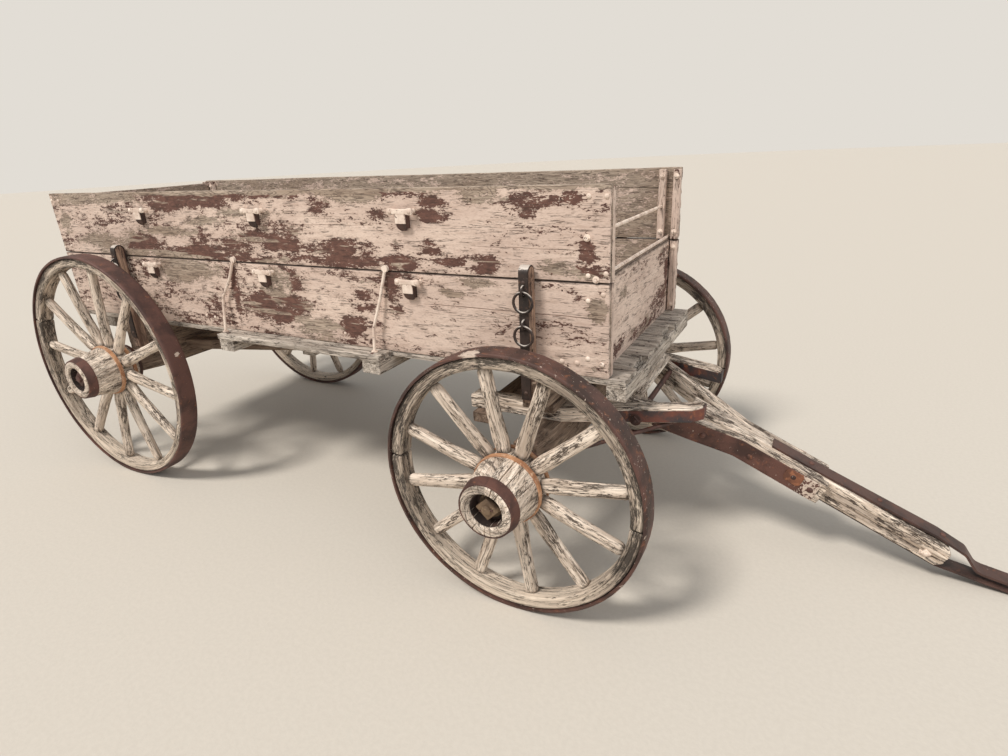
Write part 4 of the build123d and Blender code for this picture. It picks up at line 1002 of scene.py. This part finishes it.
# Where the near side's paint is gone, to the brown primer or to the grey wood: (x, height,
# half length, half height).
TO_PRIMER = (
    (-1.83, 1.443, 0.28, 0.041), (-0.98, 1.428, 0.07, 0.039), (-0.42, 1.434, 0.07, 0.021),
    (-0.67, 1.383, 0.06, 0.030), (-0.43, 1.384, 0.07, 0.022), (0.00, 1.439, 0.13, 0.032),
    (-0.03, 1.400, 0.04, 0.020), (-2.19, 1.244, 0.15, 0.041), (-1.81, 1.216, 0.15, 0.029),
    (-1.51, 1.230, 0.12, 0.050), (-1.21, 1.256, 0.14, 0.039), (-0.89, 1.265, 0.10, 0.029),
    (-0.84, 1.214, 0.16, 0.033), (-0.60, 1.274, 0.05, 0.019), (-0.58, 1.209, 0.11, 0.031),
    (-0.44, 1.267, 0.05, 0.030), (-0.38, 1.217, 0.08, 0.015), (-0.19, 1.214, 0.06, 0.033),
    (0.17, 1.210, 0.05, 0.030), (0.19, 1.264, 0.02, 0.036), (-1.19, 1.095, 0.05, 0.054),
    (-1.34, 0.972, 0.20, 0.089), (-0.78, 1.064, 0.07, 0.021), (-0.80, 0.999, 0.08, 0.022),
    (-0.87, 0.922, 0.08, 0.050), (-0.64, 1.077, 0.04, 0.099), (0.180, 1.262, 0.018, 0.052),
    (-1.60, 1.470, 0.70, 0.022), (-1.62, 1.190, 0.60, 0.016), (-1.30, 1.300, 0.10, 0.020),
    # The last row is a narrow upright brown band beside a tie rod's strap.
    (-1.05, 1.200, 0.20, 0.020), (-1.585, 1.030, 0.022, 0.130),
)
TO_WOOD = (
    (-2.64, 1.472, 0.22, 0.030), (-0.82, 1.462, 0.13, 0.026), (-0.22, 1.457, 0.09, 0.023),
    (-1.74, 1.357, 0.13, 0.018), (-2.57, 1.239, 0.17, 0.038), (0.05, 1.218, 0.07, 0.024),
    (-1.92, 1.109, 0.20, 0.056), (-1.31, 1.088, 0.08, 0.056), (-1.09, 0.888, 0.11, 0.052),
    (-0.25, 1.145, 0.08, 0.019), (0.22, 1.074, 0.03, 0.047), (-0.36, 1.100, 0.05, 0.018),
    (-2.60, 1.462, 0.30, 0.030), (-2.86, 1.330, 0.05, 0.050), (-2.30, 1.185, 0.40, 0.016),
    (-1.98, 1.300, 0.16, 0.020), (-1.40, 1.390, 0.18, 0.016),
)
NEAR_PATCHES = [(*row, BROWN) for row in TO_PRIMER] + [(*row, GREY) for row in TO_WOOD]

# Where paint is gone from the front gate: (y, height, half width, half height, what shows).
FRONT_GATE_PATCHES = (
    (0.33, 0.92, 0.12, 0.060, BROWN),
    (0.08, 0.86, 0.20, 0.030, BROWN),
    (0.32, 1.11, 0.07, 0.035, BROWN),
    (0.43, 1.03, 0.03, 0.100, BROWN),
    (-0.30, 0.88, 0.12, 0.035, BROWN),
    (-0.43, 1.00, 0.03, 0.060, GREY),
    (-0.24, 1.08, 0.05, 0.030, GREY),
)

# The sides' cracks: place across the face, start and end along it, width and depth.
OUTSIDE_CRACKS = {
    "lower": (
        (0.58, 2.45, 3.216, 0.0032, 0.006),
        (0.12, 0.0, 0.7, 0.002, 0.004),
        (0.36, 1.2, 1.9, 0.0016, 0.003),
    ),
    "upper": (
        (0.30, 2.7, 3.216, 0.0016, 0.004),
        (0.72, 0.0, 0.5, 0.0022, 0.004),
        (0.50, 1.5, 2.2, 0.0014, 0.003),
    ),
}
INSIDE_CRACKS = ((0.33, 0.0, 1.6, 0.003, 0.006), (0.66, 1.9, 3.216, 0.003, 0.006))

# Where the sides' paint is thin all along: (height, half height, strength).
SIDE_HAZE = (
    (1.462, 0.020, 0.66),
    (1.395, 0.040, 0.26),
    (1.222, 0.045, 0.46),
    (1.140, 0.030, 0.34),
    (0.990, 0.080, 0.26),
    (0.850, 0.020, 0.28),
)

# Bolt heads on the near side: (x, height, radius). The far side has the same.
NEAR_BOLTS = (
    (0.188, 1.451, 0.0088), (0.248, 1.450, 0.0088), (0.186, 1.194, 0.0088), (0.248, 1.204, 0.0088),
    (0.186, 1.108, 0.0088), (0.239, 1.133, 0.0088), (0.088, 0.880, 0.0095), (0.145, 0.880, 0.0095),
    (0.186, 0.900, 0.0095), (0.238, 0.884, 0.0095), (-1.840, 0.887, 0.0075), (-1.777, 0.885, 0.0075),
    (-2.874, 1.448, 0.0088), (-2.938, 1.450, 0.0088), (-2.874, 1.205, 0.0088), (-2.938, 1.196, 0.0088),
    (-2.874, 1.120, 0.0088), (-2.938, 1.112, 0.0088), (-2.874, 0.892, 0.0088), (-2.938, 0.884, 0.0088),
    (-2.310, 0.884, 0.0075), (-0.930, 0.884, 0.0075), (-0.100, 0.882, 0.0075),
)

# Where the thinner paint of the rear starts, how soon it is full, and the half height of the painted shade
# at the board seam.
REAR_STARTS = -0.35
REAR_FADE = 0.9
SEAM_SHADE_HALF = 0.0048


def random_patches(seed, count, x0, x1, z0, z1):
    """Patches of lost paint, scattered for a side that the photograph doesn't show."""
    rng = np.random.default_rng(seed)
    patches = []
    for _ in range(count):
        half_x = rng.uniform(0.05, 0.2)
        half_z = rng.uniform(0.02, 0.05)
        kind = BROWN if rng.random() < 0.65 else GREY
        patches.append((rng.uniform(x0, x1), rng.uniform(z0, z1), half_x, half_z, kind))
    return patches


def paint_fields(patches, axis=0, inner=None, edge_z=None, haze=(), rear=0.0):
    """Fields of lost paint, of bare grey wood and of painted shade at the board seam, from patches and worn
    edges.

    inner is a test for the points of the face that the weather and the load have worn bare.
    haze is a list of (height, half height, strength) where the paint is thin all along, and
    rear is how much thinner it is towards the rear.
    """

    def level(verts, *kinds):
        """How far into a patch each point is, for the patches of some kinds."""
        total = np.zeros(len(verts))
        for along, up, half_a, half_u, kind in patches:
            if kind in kinds:
                r = ((verts[:, axis] - along) / half_a) ** 2 + ((verts[:, 2] - up) / half_u) ** 2
                total = np.maximum(total, np.clip(1.12 - 0.5 * r, 0, 1.0))
        return total

    def worn(verts, total, inside, most):
        """Adds the wear of the inner face and of the top edge to what the patches give."""
        if inner is not None:
            total = np.where(inner(verts), inside, total)
        if edge_z is not None:
            total = np.maximum(total, np.clip((verts[:, 2] - edge_z) / 0.012, 0, most))
        return total

    def loss(verts):
        total = level(verts, BROWN, GREY)
        back = np.clip((REAR_STARTS - verts[:, 0]) / REAR_FADE, 0, 1)
        for up, half_u, strength in haze:
            band = strength * (0.7 + 0.5 * back) * np.exp(-(((verts[:, 2] - up) / half_u) ** 2))
            total = np.maximum(total, band)
        return worn(verts, np.maximum(total, rear * back) + 0.3 * rear * back, 0.86, 1.3)

    def bare(verts):
        return worn(verts, np.clip(level(verts, GREY) * 1.2, 0, 1), 0.95, 1)

    def shade(verts):
        # painted shade: points at the seam between the lower and upper boards are darkened
        return np.where(np.abs(verts[:, 2] - (LOWER_TOP + UPPER_FOOT) / 2) < SEAM_SHADE_HALF, 1.0, 0.0)

    return {"loss": loss, "bare": bare, "shade": shade}


def side_boards():
    """The four flaked side boards, the near ones worn as in the photograph."""
    middle = HALF_BOX - SIDE_THICK * 0.5
    for side, outside, rear in (("right", 3, 0.34), ("left", 1, 0.25)):
        for level, edge_z in (("lower", None), ("upper", UPPER_TOP - 0.019)):
            node = f"side_{side}_{level}"
            seed = len(node) * 3 + (1 if side == "right" else 2)
            patches = NEAR_PATCHES if side == "right" else random_patches(seed, 26, -2.9, 0.2, 0.85, 1.47)
            fields = paint_fields(patches, 0, lambda v: np.abs(v[:, 1]) < middle, edge_z, SIDE_HAZE, rear)
            checks = [Check(outside + place, *rest) for place, *rest in OUTSIDE_CRACKS[level]]
            checks += [Check(4 - outside + place, *rest) for place, *rest in INSIDE_CRACKS]
            b = Build()
            timber(
                b, straight(*local_box(node), 0), seed, step=0.016, per_side=(3, 26), radius=0.0035,
                rough=0.0007, checks=checks, fields=fields,
            )
            b.piece(f"{side}_{level}_flaked_board", "wagon", "painted_board", [SIDE_PAINT], [node])


def floor_and_sills():
    """The floor boards, the sills under them and the step board."""
    b = Build()
    for k, box in enumerate(islands("floor_boards")):
        beam(b, box, 0, 20 + k, (0, 2), 2, per_side=(8, 2), radius=0.0025, ragged=0.008)
    b.piece("worn_floor_boards", "wagon", "grey_wood", [GREY_WOOD], ["floor_boards"])
    b = Build()
    for k, box in enumerate(islands("cross_sills")):
        beam(b, box, 1, 31 + k, (0, 1, 2, 3), 1, per_side=(6, 5), ragged=0.006)
    b.piece("weathered_sills", "wagon", "grey_wood", [GREY_WOOD], ["cross_sills"])
    b = Build()
    checks = crack_rows(
        (0.28, 0.0, 0.5, 0.003, 0.010),
        (0.55, 0.45, 0.992, 0.004, 0.012),
        (0.74, 0.7, 0.992, 0.004, 0.012),
        (0.15, 0.6, 0.992, 0.003, 0.010),
        (3.45, 0.0, 0.6, 0.002, 0.006),
        (2.5, 0.5, 0.992, 0.003, 0.008),
    )
    timber(
        b, straight(*local_box("step_board"), 0), 44, checks=checks, per_side=(12, 4), radius=0.0045,
        ragged=0.012, rough=0.0014,
    )
    b.piece("worn_step_board", "wagon", "grey_wood", [GREY_WOOD], ["step_board"])


def gates():
    """The front gate of one board, and the rear gate of two."""
    ends = (("front_gate", "wagon", 51, 1), ("rear_gate", "rear_gate_board", 57, -1))
    for node, body, seed, outer in ends:
        lo, hi = local_box(node)
        patches = FRONT_GATE_PATCHES
        boards = [(lo, hi)]
        if node == "rear_gate":
            rng = np.random.default_rng(seed)
            patches = []
            for _ in range(16):
                middle = rng.uniform(-0.45, 0.45), rng.uniform(lo[2], hi[2])
                half = rng.uniform(0.05, 0.18), rng.uniform(0.012, 0.035)
                patches.append((*middle, *half, rng.integers(2)))
            seam, gap = LOWER_TOP + 0.002, 0.0015
            boards = [(lo, (hi[0], hi[1], seam)), ((lo[0], lo[1], seam + gap), hi)]
        middle = (lo[0] + hi[0]) / 2
        haze = ((hi[2], 0.03, 0.5), (lo[2], 0.05, 0.55), (LOWER_TOP - 0.02, 0.03, 0.3))
        fields = paint_fields(patches, 1, lambda v: (v[:, 0] - middle) * outer < 0, hi[2] - 0.012, haze)
        b = Build()
        for k, board in enumerate(boards):
            checks = random_checks(seed + k, 0.958, (1, 3), 3, 0.0025, 0.006)
            timber(
                b, straight(*board, 1), seed + k, step=0.016, per_side=(3, 22), radius=0.003,
                ragged=0.003, checks=checks, fields=fields,
            )
        b.piece(node + "_flaked_boards", body, "painted_board", [GATE_PAINT], [node])


def cleats():
    """The upright cleats that hold the gates, each with its bolts' nuts inside the box."""
    b = Build()
    for k, (lo, hi) in enumerate(islands("gate_cleats")):
        fields = paint_fields((), haze=((hi[2], 0.015, 0.7), (lo[2], 0.03, 0.55)))
        checks = random_checks(80 + k, hi[2] - lo[2], (0, 2), 1, 0.002, 0.005)
        timber(
            b, straight(lo, hi, 2), 80 + k, step=0.02, per_side=(4, 4), radius=0.003, checks=checks,
            fields=fields,
        )
        sign, x = side_of((lo, hi))
        face = lo[1] if sign > 0 else hi[1]
        for z in (lo[2] + 0.035, hi[2] - 0.030):
            nut_on_washer(b, (x, face, z), (0, -sign, 0), 0.0072, 1)
    b.piece("worn_gate_cleats", "wagon", "grey_wood", [CLEAT_PAINT, CREAM_IRON], ["gate_cleats"])


def stake_face(z):
    """How far out a stake's wood stands at a height."""
    return STAKE_OUTER - STAKE_TAPER * max(0.0, z - SILL_TOP) / (STAKE_SPRING - SILL_TOP)


def stakes():
    """The four stakes, tapered and rounded over at the top."""
    b = Build()
    radius = (STAKE_OUTER - STAKE_TAPER - STAKE_INNER) / 2
    turns = (0.4, 0.75, 1.05, 1.3, 1.47)
    for k, (lo, hi) in enumerate(islands("stakes")):
        sign, x = side_of((lo, hi))
        profile = [(z, (stake_face(z) - STAKE_INNER) / 2) for z in (lo[2], SILL_TOP, STAKE_SPRING)]
        profile += [(STAKE_SPRING + radius * math.sin(a), radius * math.cos(a)) for a in turns]
        stations = []
        for z, half in profile:
            y = STAKE_INNER + (radius if z > STAKE_SPRING else half)
            stations.append(((x, sign * y, z), X, Y, (hi[0] - lo[0]) / 2, half))
        checks = random_checks(110 + k, hi[2] - lo[2] - 0.06, (1, 3), 2, 0.0035, 0.008)
        timber(b, stations, 110 + k, step=0.02, per_side=(6, 5), checks=checks, ragged=0.0)
    b.piece("weathered_stakes", "wagon", "gear_wood", [STAKE_WOOD], ["stakes"])


def staples():
    """The bow staples: a bar with round ears on two bolts, over a folded iron pocket whose dark cup and
    cheeks paint the shadow under the bar.
    """
    bar_drop, pocket_drop = 0.0115, 0.084
    ear = ((-0.058, 0.007), (-0.054, 0.0120), (-0.044, 0.0130), (-0.035, 0.0112), (-0.027, 0.0092))
    bar = ear + tuple((-along, high) for along, high in ear[::-1])
    cup = ((0.000, 0.011, 0.010), (0.004, 0.0175, 0.0125), (0.010, 0.0220, 0.0165), (0.018, 0.0235, 0.0205))
    cup += ((0.034, 0.0235, 0.0245),)
    cheek = ((0.010, 0.0135), (0.018, 0.0195), (0.030, 0.0240), (0.060, 0.0250))
    b = Build()
    for k, (lo, hi) in enumerate(islands("bow_staples")):
        sign, x = side_of((lo, hi))
        top = hi[2]
        foot, axis = top - pocket_drop, (0, sign, 0)

        def at(along, out, z):
            return (x + along, sign * (HALF_BOX + out), z)

        stations = [(at(along, 0.026, top - bar_drop), Y, Z, 0.0045, high) for along, high in bar]
        timber(b, stations, 160 + k, 0.006, (2, 4), 0.002, 0.0004, 0.0003, 0.0)
        for along in (-0.045, 0.045):
            lathe(b, at(along, 0.0, top - bar_drop), axis, [(0, 0.0085), (0.023, 0.0085)], 16)
            bolt_head(b, at(along, 0.0302, top - bar_drop), axis, 0.0095, 0.0050)
        neck = ((foot + 0.028, 0.0235), (top - 0.034, 0.0235), (top - 0.026, 0.0220), (top - 0.020, 0.0200))
        stations = [(at(0, 0.0268, z), X, Y, half, 0.0028) for z, half in neck]
        timber(b, stations, 170 + k, 0.006, (4, 2), 0.0015, 0.0003, 0.0003, 0.0)
        # painted shadow: the cup and its cheeks take the dark iron, material 1, for the shadow under the bar
        # as well as rust
        stations = [(at(0, out, foot + z), X, Y, half, 0.0022) for z, half, out in cup]
        timber(b, stations, 180 + k, 0.006, (4, 2), 0.0012, 0.0004, 0.0003, 0.0, material=1)
        for along in (-0.0230, 0.0230):
            stations = [(at(along, out / 2, foot + z), X, Y, 0.0016, out / 2) for z, out in cheek]
            timber(b, stations, 190 + k, 0.01, (2, 3), 0.0008, 0.0002, 0.0002, 0.0, material=1)
    b.piece("folded_bow_staples", "wagon", "painted_iron", [CREAM_IRON, POCKET_SHADE_IRON], ["bow_staples"])


def side_bolts():
    """The bolt heads on both sides of the box, and the nuts on the ends of the two tie rods."""
    b = Build()
    for sign in (-1, 1):
        y, axis = sign * (HALF_BOX + 0.0002), (0, sign, 0)
        for x, z, radius in NEAR_BOLTS:
            bolt_head(b, (x, y, z), axis, radius, radius * 0.62)
        for x, z in ((0.182, 1.319), (0.214, 1.182)):
            nut_on_washer(b, (x, y, z), axis, 0.0072, stub=0.003)
    b.piece("side_bolt_heads", "wagon", "painted_iron", [CREAM_IRON])
    b = Build()
    rng = np.random.default_rng(7)
    for sign in (-1, 1):
        for z in (FLOOR_TOP + 0.03, LOWER_TOP - 0.025, UPPER_FOOT + 0.025, UPPER_TOP - 0.04):
            for x in np.arange(-2.80, 0.10, 0.36):
                nail_x, nail_z = x + rng.uniform(-0.03, 0.03), z + rng.uniform(-0.006, 0.006)
                bolt_head(b, (nail_x, sign * (HALF_BOX + 0.0001), nail_z), (0, sign, 0), 0.0034, 0.0012)
    b.piece("side_nail_heads", "wagon", "painted_iron", [STRAP_IRON])


def floor_nails():
    """Nail heads where the floor boards cross the sills, and bolts through the step board."""
    b = Build()
    rng = np.random.default_rng(17)
    sills = islands("cross_sills")
    for lo, hi in islands("floor_boards"):
        for sill in sills:
            for y in (lo[1] + 0.025, hi[1] - 0.025):
                x = side_of(sill)[1] + rng.uniform(-0.015, 0.015)
                bolt_head(b, (x, y + rng.uniform(-0.005, 0.005), hi[2] - 0.0004), Z, 0.0042, 0.0014)
    b.piece("floor_nail_heads", "wagon", "gear_iron", [DARK_IRON])
    b = Build()
    lo, hi = local_box("step_board")
    for x in (lo[0] + 0.055, hi[0] - 0.055):
        for y in (lo[1] + 0.03, hi[1] - 0.06):
            bolt_head(b, (x, y, hi[2] - 0.0006), Z, 0.0085, 0.004)
    b.piece("step_board_bolts", "wagon", "gear_iron", [STRAP_IRON])


def stake_bolts():
    """The bolts that hold each stake's iron."""
    b = Build()
    for box in islands("stakes"):
        sign, x = side_of(box)
        for z in (1.172, 1.062, 0.912, 0.765):
            bolt_head(b, (x, sign * (stake_face(z) + 0.0058), z), (0, sign, 0), 0.0075, 0.0042)
    b.piece("stake_iron_bolts", "wagon", "gear_iron", [WORN_IRON])


# Running gear


FRONT_HOUND_Z = 0.627
REAR_HOUND_Z = 0.621
HOUND_HALF = 0.029
HOUND_SLOPE = 0.382

# Each hound's (x, y, half width), and the reach's (x, underside, top).
FRONT_HOUND = ((-0.356, 0.400, 0.037), (0.05, 0.400, 0.037), (0.508, 0.225, 0.037), (0.542, 0.198, 0.023))
REAR_HOUND = ((-2.365, 0.284, 0.034), (-1.674, 0.075, 0.036), (-1.614, 0.066, 0.027), (-1.554, 0.063, 0.024))
REACH = ((-2.744, 0.628, 0.690), (-2.114, 0.628, 0.690), (-0.34, 0.605, 0.649), (0.07, 0.605, 0.649))


def axle_beam(end, half_long, foot, top, rise, seed):
    """An axle's beam, whose underside rises towards its two ends."""
    b = Build()
    stations = []
    x, inner = AXLES[end][0], half_long - 0.15
    for y, low in ((-half_long, rise), (-inner, 0.0), (inner, 0.0), (half_long, rise)):
        middle, half = (foot + low + top) / 2, (top - foot - low) / 2
        stations.append(((x, y, middle), (-1, 0, 0), Z, 0.049, half))
    checks = random_checks(int(2 * half_long * 100), 2 * half_long, (1, 3), 2, 0.003, 0.008)
    timber(b, stations, seed, per_side=(5, 6), checks=checks)
    return b


def hound_pair(outline, z, seed, length, checks, **more):
    """Two hounds, one a side, along an outline of (x, y, half width) at one height."""
    b = Build()
    for sign in (-1, 1):
        stations = lying(((x, sign * y, z), half, HOUND_HALF) for x, y, half in outline)
        cracks = random_checks(seed + sign, length, (0, 1, 3), *checks)
        timber(b, stations, seed + sign, radius=0.005, checks=cracks, **more)
    return b


def gear_timbers():
    """The axles, bolsters, sand board, sway bar, hounds and reach."""
    for end, body, sizes in (
        ("front", "front_gear", (0.658, 0.436, 0.598, 0.052, 90)),
        ("rear", "wagon", (0.596, 0.540, 0.662, 0.012, 93)),
    ):
        axle_beam(end, *sizes).piece(f"{end}_axle_beam", body, "gear_wood", [SHADED_GEAR_WOOD], [f"{end}_axle"])
    for node, body, seed, cracks, high, ragged in (
        ("front_bolster", "wagon", 96, 2, 6, 0.006),
        ("rear_bolster", "wagon", 99, 2, 6, 0.006),
        ("sand_board", "front_gear", 103, 1, 4, 0.004),
        ("sway_bar", "front_gear", 105, 1, 4, 0.004),
    ):
        b = Build()
        beam(b, local_box(node), 1, seed, (1, 3), cracks, per_side=(5, high, 5, high), ragged=ragged)
        b.piece("weathered_" + node, body, "gear_wood", [SHADED_GEAR_WOOD], [node])
    b = hound_pair(FRONT_HOUND, FRONT_HOUND_Z, 120, 0.96, (2, 0.0035, 0.008), step=0.02, per_side=(7, 5))
    b.piece("weathered_front_hounds", "front_gear", "tongue_wood", [TONGUE_WOOD], ["front_hounds"])
    b = hound_pair(REAR_HOUND, REAR_HOUND_Z, 130, 0.85, (1, 0.003, 0.007))
    b.piece("weathered_rear_hounds", "wagon", "gear_wood", [SHADED_GEAR_WOOD], ["rear_hounds"])
    b = Build()
    stations = lying(((x, 0, (foot + top) / 2), 0.039, (top - foot) / 2) for x, foot, top in REACH)
    checks = random_checks(137, 2.8, (0, 1, 3), 2, 0.003, 0.008)
    timber(b, stations, 137, per_side=(6, 5), radius=0.006, checks=checks, ragged=0.01)
    b.piece("weathered_reach", "wagon", "gear_wood", [SHADED_GEAR_WOOD], ["reach"])


def hound_outer(x):
    """How far out the front hounds' outer faces stand, ahead of where they bend in."""
    return 0.3637 - (x - 0.255) * 0.53


def hound_fittings():
    """The hinge rod's two end nuts and rings beside the front hounds, and the hounds' bolts."""
    b = Build()
    lo, hi = local_box("hinge_rod")
    for sign, end in ((-1, lo[1]), (1, hi[1])):
        x, z = (lo[0] + hi[0]) / 2, (lo[2] + hi[2]) / 2
        nut_on_washer(b, (x, end - sign * 0.004, z), (0, sign, 0), 0.0135)
        for along in (0.41, 0.49):
            base = (along, sign * (hound_outer(along) - 0.002), FRONT_HOUND_Z)
            bolt_head(b, base, (HOUND_SLOPE, sign, 0), 0.0105, 0.006)
    b.piece("hound_bolts", "front_gear", "gear_iron", [STRAP_IRON])


# Tongue


# How far the tongue dips, its pin's (x, z), and its arms' outer faces along it.
DIP = math.radians(24.34)
PIN = (0.320, 0.620)
ARM_SLOPE = 0.3821
ARM_BEND = 0.3895
MID_ARM = -0.018
ARM_HALF = 0.044
PLATE_HALF = 0.0028
PALE_X = 0.95

# The rust clip's half height along the tongue.
CLIP = ((0.580, 0.014), (0.590, 0.026), (0.640, 0.028), (0.652, 0.018))


def on_tongue(points):
    """Moves points from the tongue's own length, width and height into the wagon's place."""
    s, y, t = np.asarray(points, float).T
    x = PIN[0] + s * math.cos(DIP) + t * math.sin(DIP)
    z = PIN[1] - s * math.sin(DIP) + t * math.cos(DIP)
    return np.stack([x, y, z], axis=1)


def arm_outer(s):
    """How far out the tongue's arms stand at a place along it."""
    return max(0.2428 - ARM_SLOPE * s, 0.094)


def strap_top(s):
    """How high the upper hitch strap's top face stands along the tongue."""
    return float(np.interp(s, (0.660, 1.148, 1.256), (0.035, 0.044, 0.035)))


def tongue_timbers():
    """The tongue's cracked arms and pole, and the cross piece on the arms' rear ends."""
    b = Build()
    checks = crack_rows(
        (0.3, 0.0, 0.5, 0.004, 0.009),
        (0.62, 0.3, 0.826, 0.005, 0.012),
        (1.35, 0.1, 0.826, 0.004, 0.010),
        (1.7, 0.2, 0.7, 0.003, 0.008),
        (3.3, 0.0, 0.826, 0.004, 0.010),
        (3.65, 0.2, 0.7, 0.003, 0.008),
    )
    for sign in (-1, 1):
        arm = ((-0.086, 0.02465), (ARM_BEND, 0.023), (0.740, 0.023))
        stations = lying(((s, sign * (arm_outer(s) - half), MID_ARM), half, ARM_HALF) for s, half in arm)
        timber(
            b, stations, 140 + sign, step=0.018, per_side=(6, 8), rough=0.0014, ragged=0.008,
            checks=checks, place=on_tongue,
        )
    b.piece("cracked_tongue_arms", "tongue", "tongue_wood", [TONGUE_WOOD], ["tongue_arms"])
    b = Build()
    pole = ((0.150, 0.048, ARM_HALF), (1.196, 0.048, ARM_HALF), (1.218, 0.046, 0.025))
    stations = lying(((s, 0, MID_ARM), wide, high) for s, wide, high in pole)
    checks = crack_rows(
        (0.25, 0.3, 1.068, 0.004, 0.012),
        (0.7, 0.45, 0.95, 0.004, 0.010),
        (3.30, 0.35, 1.068, 0.005, 0.014),
        (3.62, 0.5, 1.068, 0.004, 0.010),
        (1.35, 0.35, 1.068, 0.005, 0.012),
        (1.7, 0.5, 1.0, 0.004, 0.010),
    )
    timber(
        b, stations, 147, step=0.018, per_side=(9, 8), radius=0.006, rough=0.0014, checks=checks,
        place=on_tongue,
    )
    b.piece("cracked_tongue_pole", "tongue", "tongue_wood", [TONGUE_WOOD], ["tongue_pole"])
    b = Build()
    lo, hi = (-0.078, -0.2415, 0.026), (-0.028, 0.2415, 0.048)
    timber(b, straight(lo, hi, 1), 151, step=0.02, per_side=(5, 2), radius=0.003, place=on_tongue)
    b.piece("worn_cross_piece", "tongue", "tongue_wood", [TONGUE_WOOD], ["tongue_cross_piece"])


def tongue_side_irons():
    """The long iron plates bolted to the outsides of the tongue's arms, with a rusty clip on each."""
    b = Build()
    plate = ((0.058, 0.037), (0.20, 0.040), (ARM_BEND, 0.040), (0.715, 0.040))
    pale = {"mark": lambda v: 0.55 * np.clip(1.2 - np.abs(v[:, 0] - PALE_X) / 0.07, 0, 1)}
    for sign in (-1, 1):
        places = [((s, sign * (arm_outer(s) + PLATE_HALF), MID_ARM), high) for s, high in plate]
        stations = lying((at, PLATE_HALF, high) for at, high in places)
        timber(
            b, stations, 205 + sign, 0.012, (2, 10), 0.0016, 0.0007, 0.0009, 0.0035,
            place=on_tongue, fields=pale,
        )
        stations = lying(((s, sign * 0.1012, -0.006), 0.0016, high) for s, high in CLIP)
        timber(
            b, stations, 208 + sign, 0.006, (2, 6), 0.001, 0.0009, 0.0004, material=1, place=on_tongue,
        )
    b.piece("worn_tongue_irons", "tongue", "gear_iron", [STRAP_IRON, RUST_CLIP], ["tongue_irons"])


def tongue_bolts():
    """Bolts through the tongue's side irons, its straps and the pole's nose."""
    b = Build()

    def head(s, y, t, way, radius):
        """A bolt head on the tongue that points a way, given in the tongue's own directions."""
        base, tip = on_tongue([(s, y, t), np.add((s, y, t), way)])
        bolt_head(b, base, tip - base, radius, 0.0065)

    for sign in (-1, 1):
        for s, t in ((0.105, -0.020), (0.247, -0.018), (0.4425, -0.026), (0.616, -0.006), (0.690, -0.020)):
            slope = ARM_SLOPE if s < ARM_BEND else 0.0
            head(s, sign * (arm_outer(s) + 0.0052), t, (slope, sign, 0), 0.0120)
        nut_on_washer(b, on_tongue([(1.146, sign * 0.0470, -0.030)])[0], (0, sign, 0), 0.0125, 1)
    for s in (0.66, 0.93, 1.168):
        head(s, 0.005, strap_top(s), Z, 0.0105)
    b.piece("tongue_bolt_heads", "tongue", "gear_iron", [STRAP_IRON, CREAM_IRON])


# Irons kept from the CAD


def kept_irons():
    """Materials and softened edges for the plain irons that stay as the CAD made them."""
    for node, material, soft in (
        # the stake irons and rings carry a painted highlight on their upward faces
        ("stake_irons", CAD_WORN_HIGHLIT, 0.0012),
        ("stake_rings", CAD_WORN_HIGHLIT, 0.0),
        ("hound_irons", CAD_RED, 0.0015),
        ("hinge_rod", CAD_IRON, 0.0012),
        ("front_braces", CAD_IRON, 0.0),
        ("king_bolt", CAD_IRON, 0.001),
        ("hitch_straps", CAD_STRAP, 0.0015),
        ("step_rods", CAD_CREAM, 0.0),
        ("tie_rods", CAD_CREAM, 0.0),
    ):
        obj = frame["nodes"][node]
        for slot in obj.material_slots:
            slot.material = material
        if soft:
            bevel = obj.modifiers.new("worn_edges", "BEVEL")
            bevel.width = soft
            bevel.segments = 2
            bevel.limit_method = "ANGLE"
            bevel.angle_limit = math.radians(40)


# The whole wagon


wheels()
skeins()
side_boards()
floor_and_sills()
gates()
cleats()
gear_timbers()
stakes()
tongue_timbers()
tongue_side_irons()
staples()
side_bolts()
floor_nails()
stake_bolts()
hound_fittings()
tongue_bolts()
kept_irons()
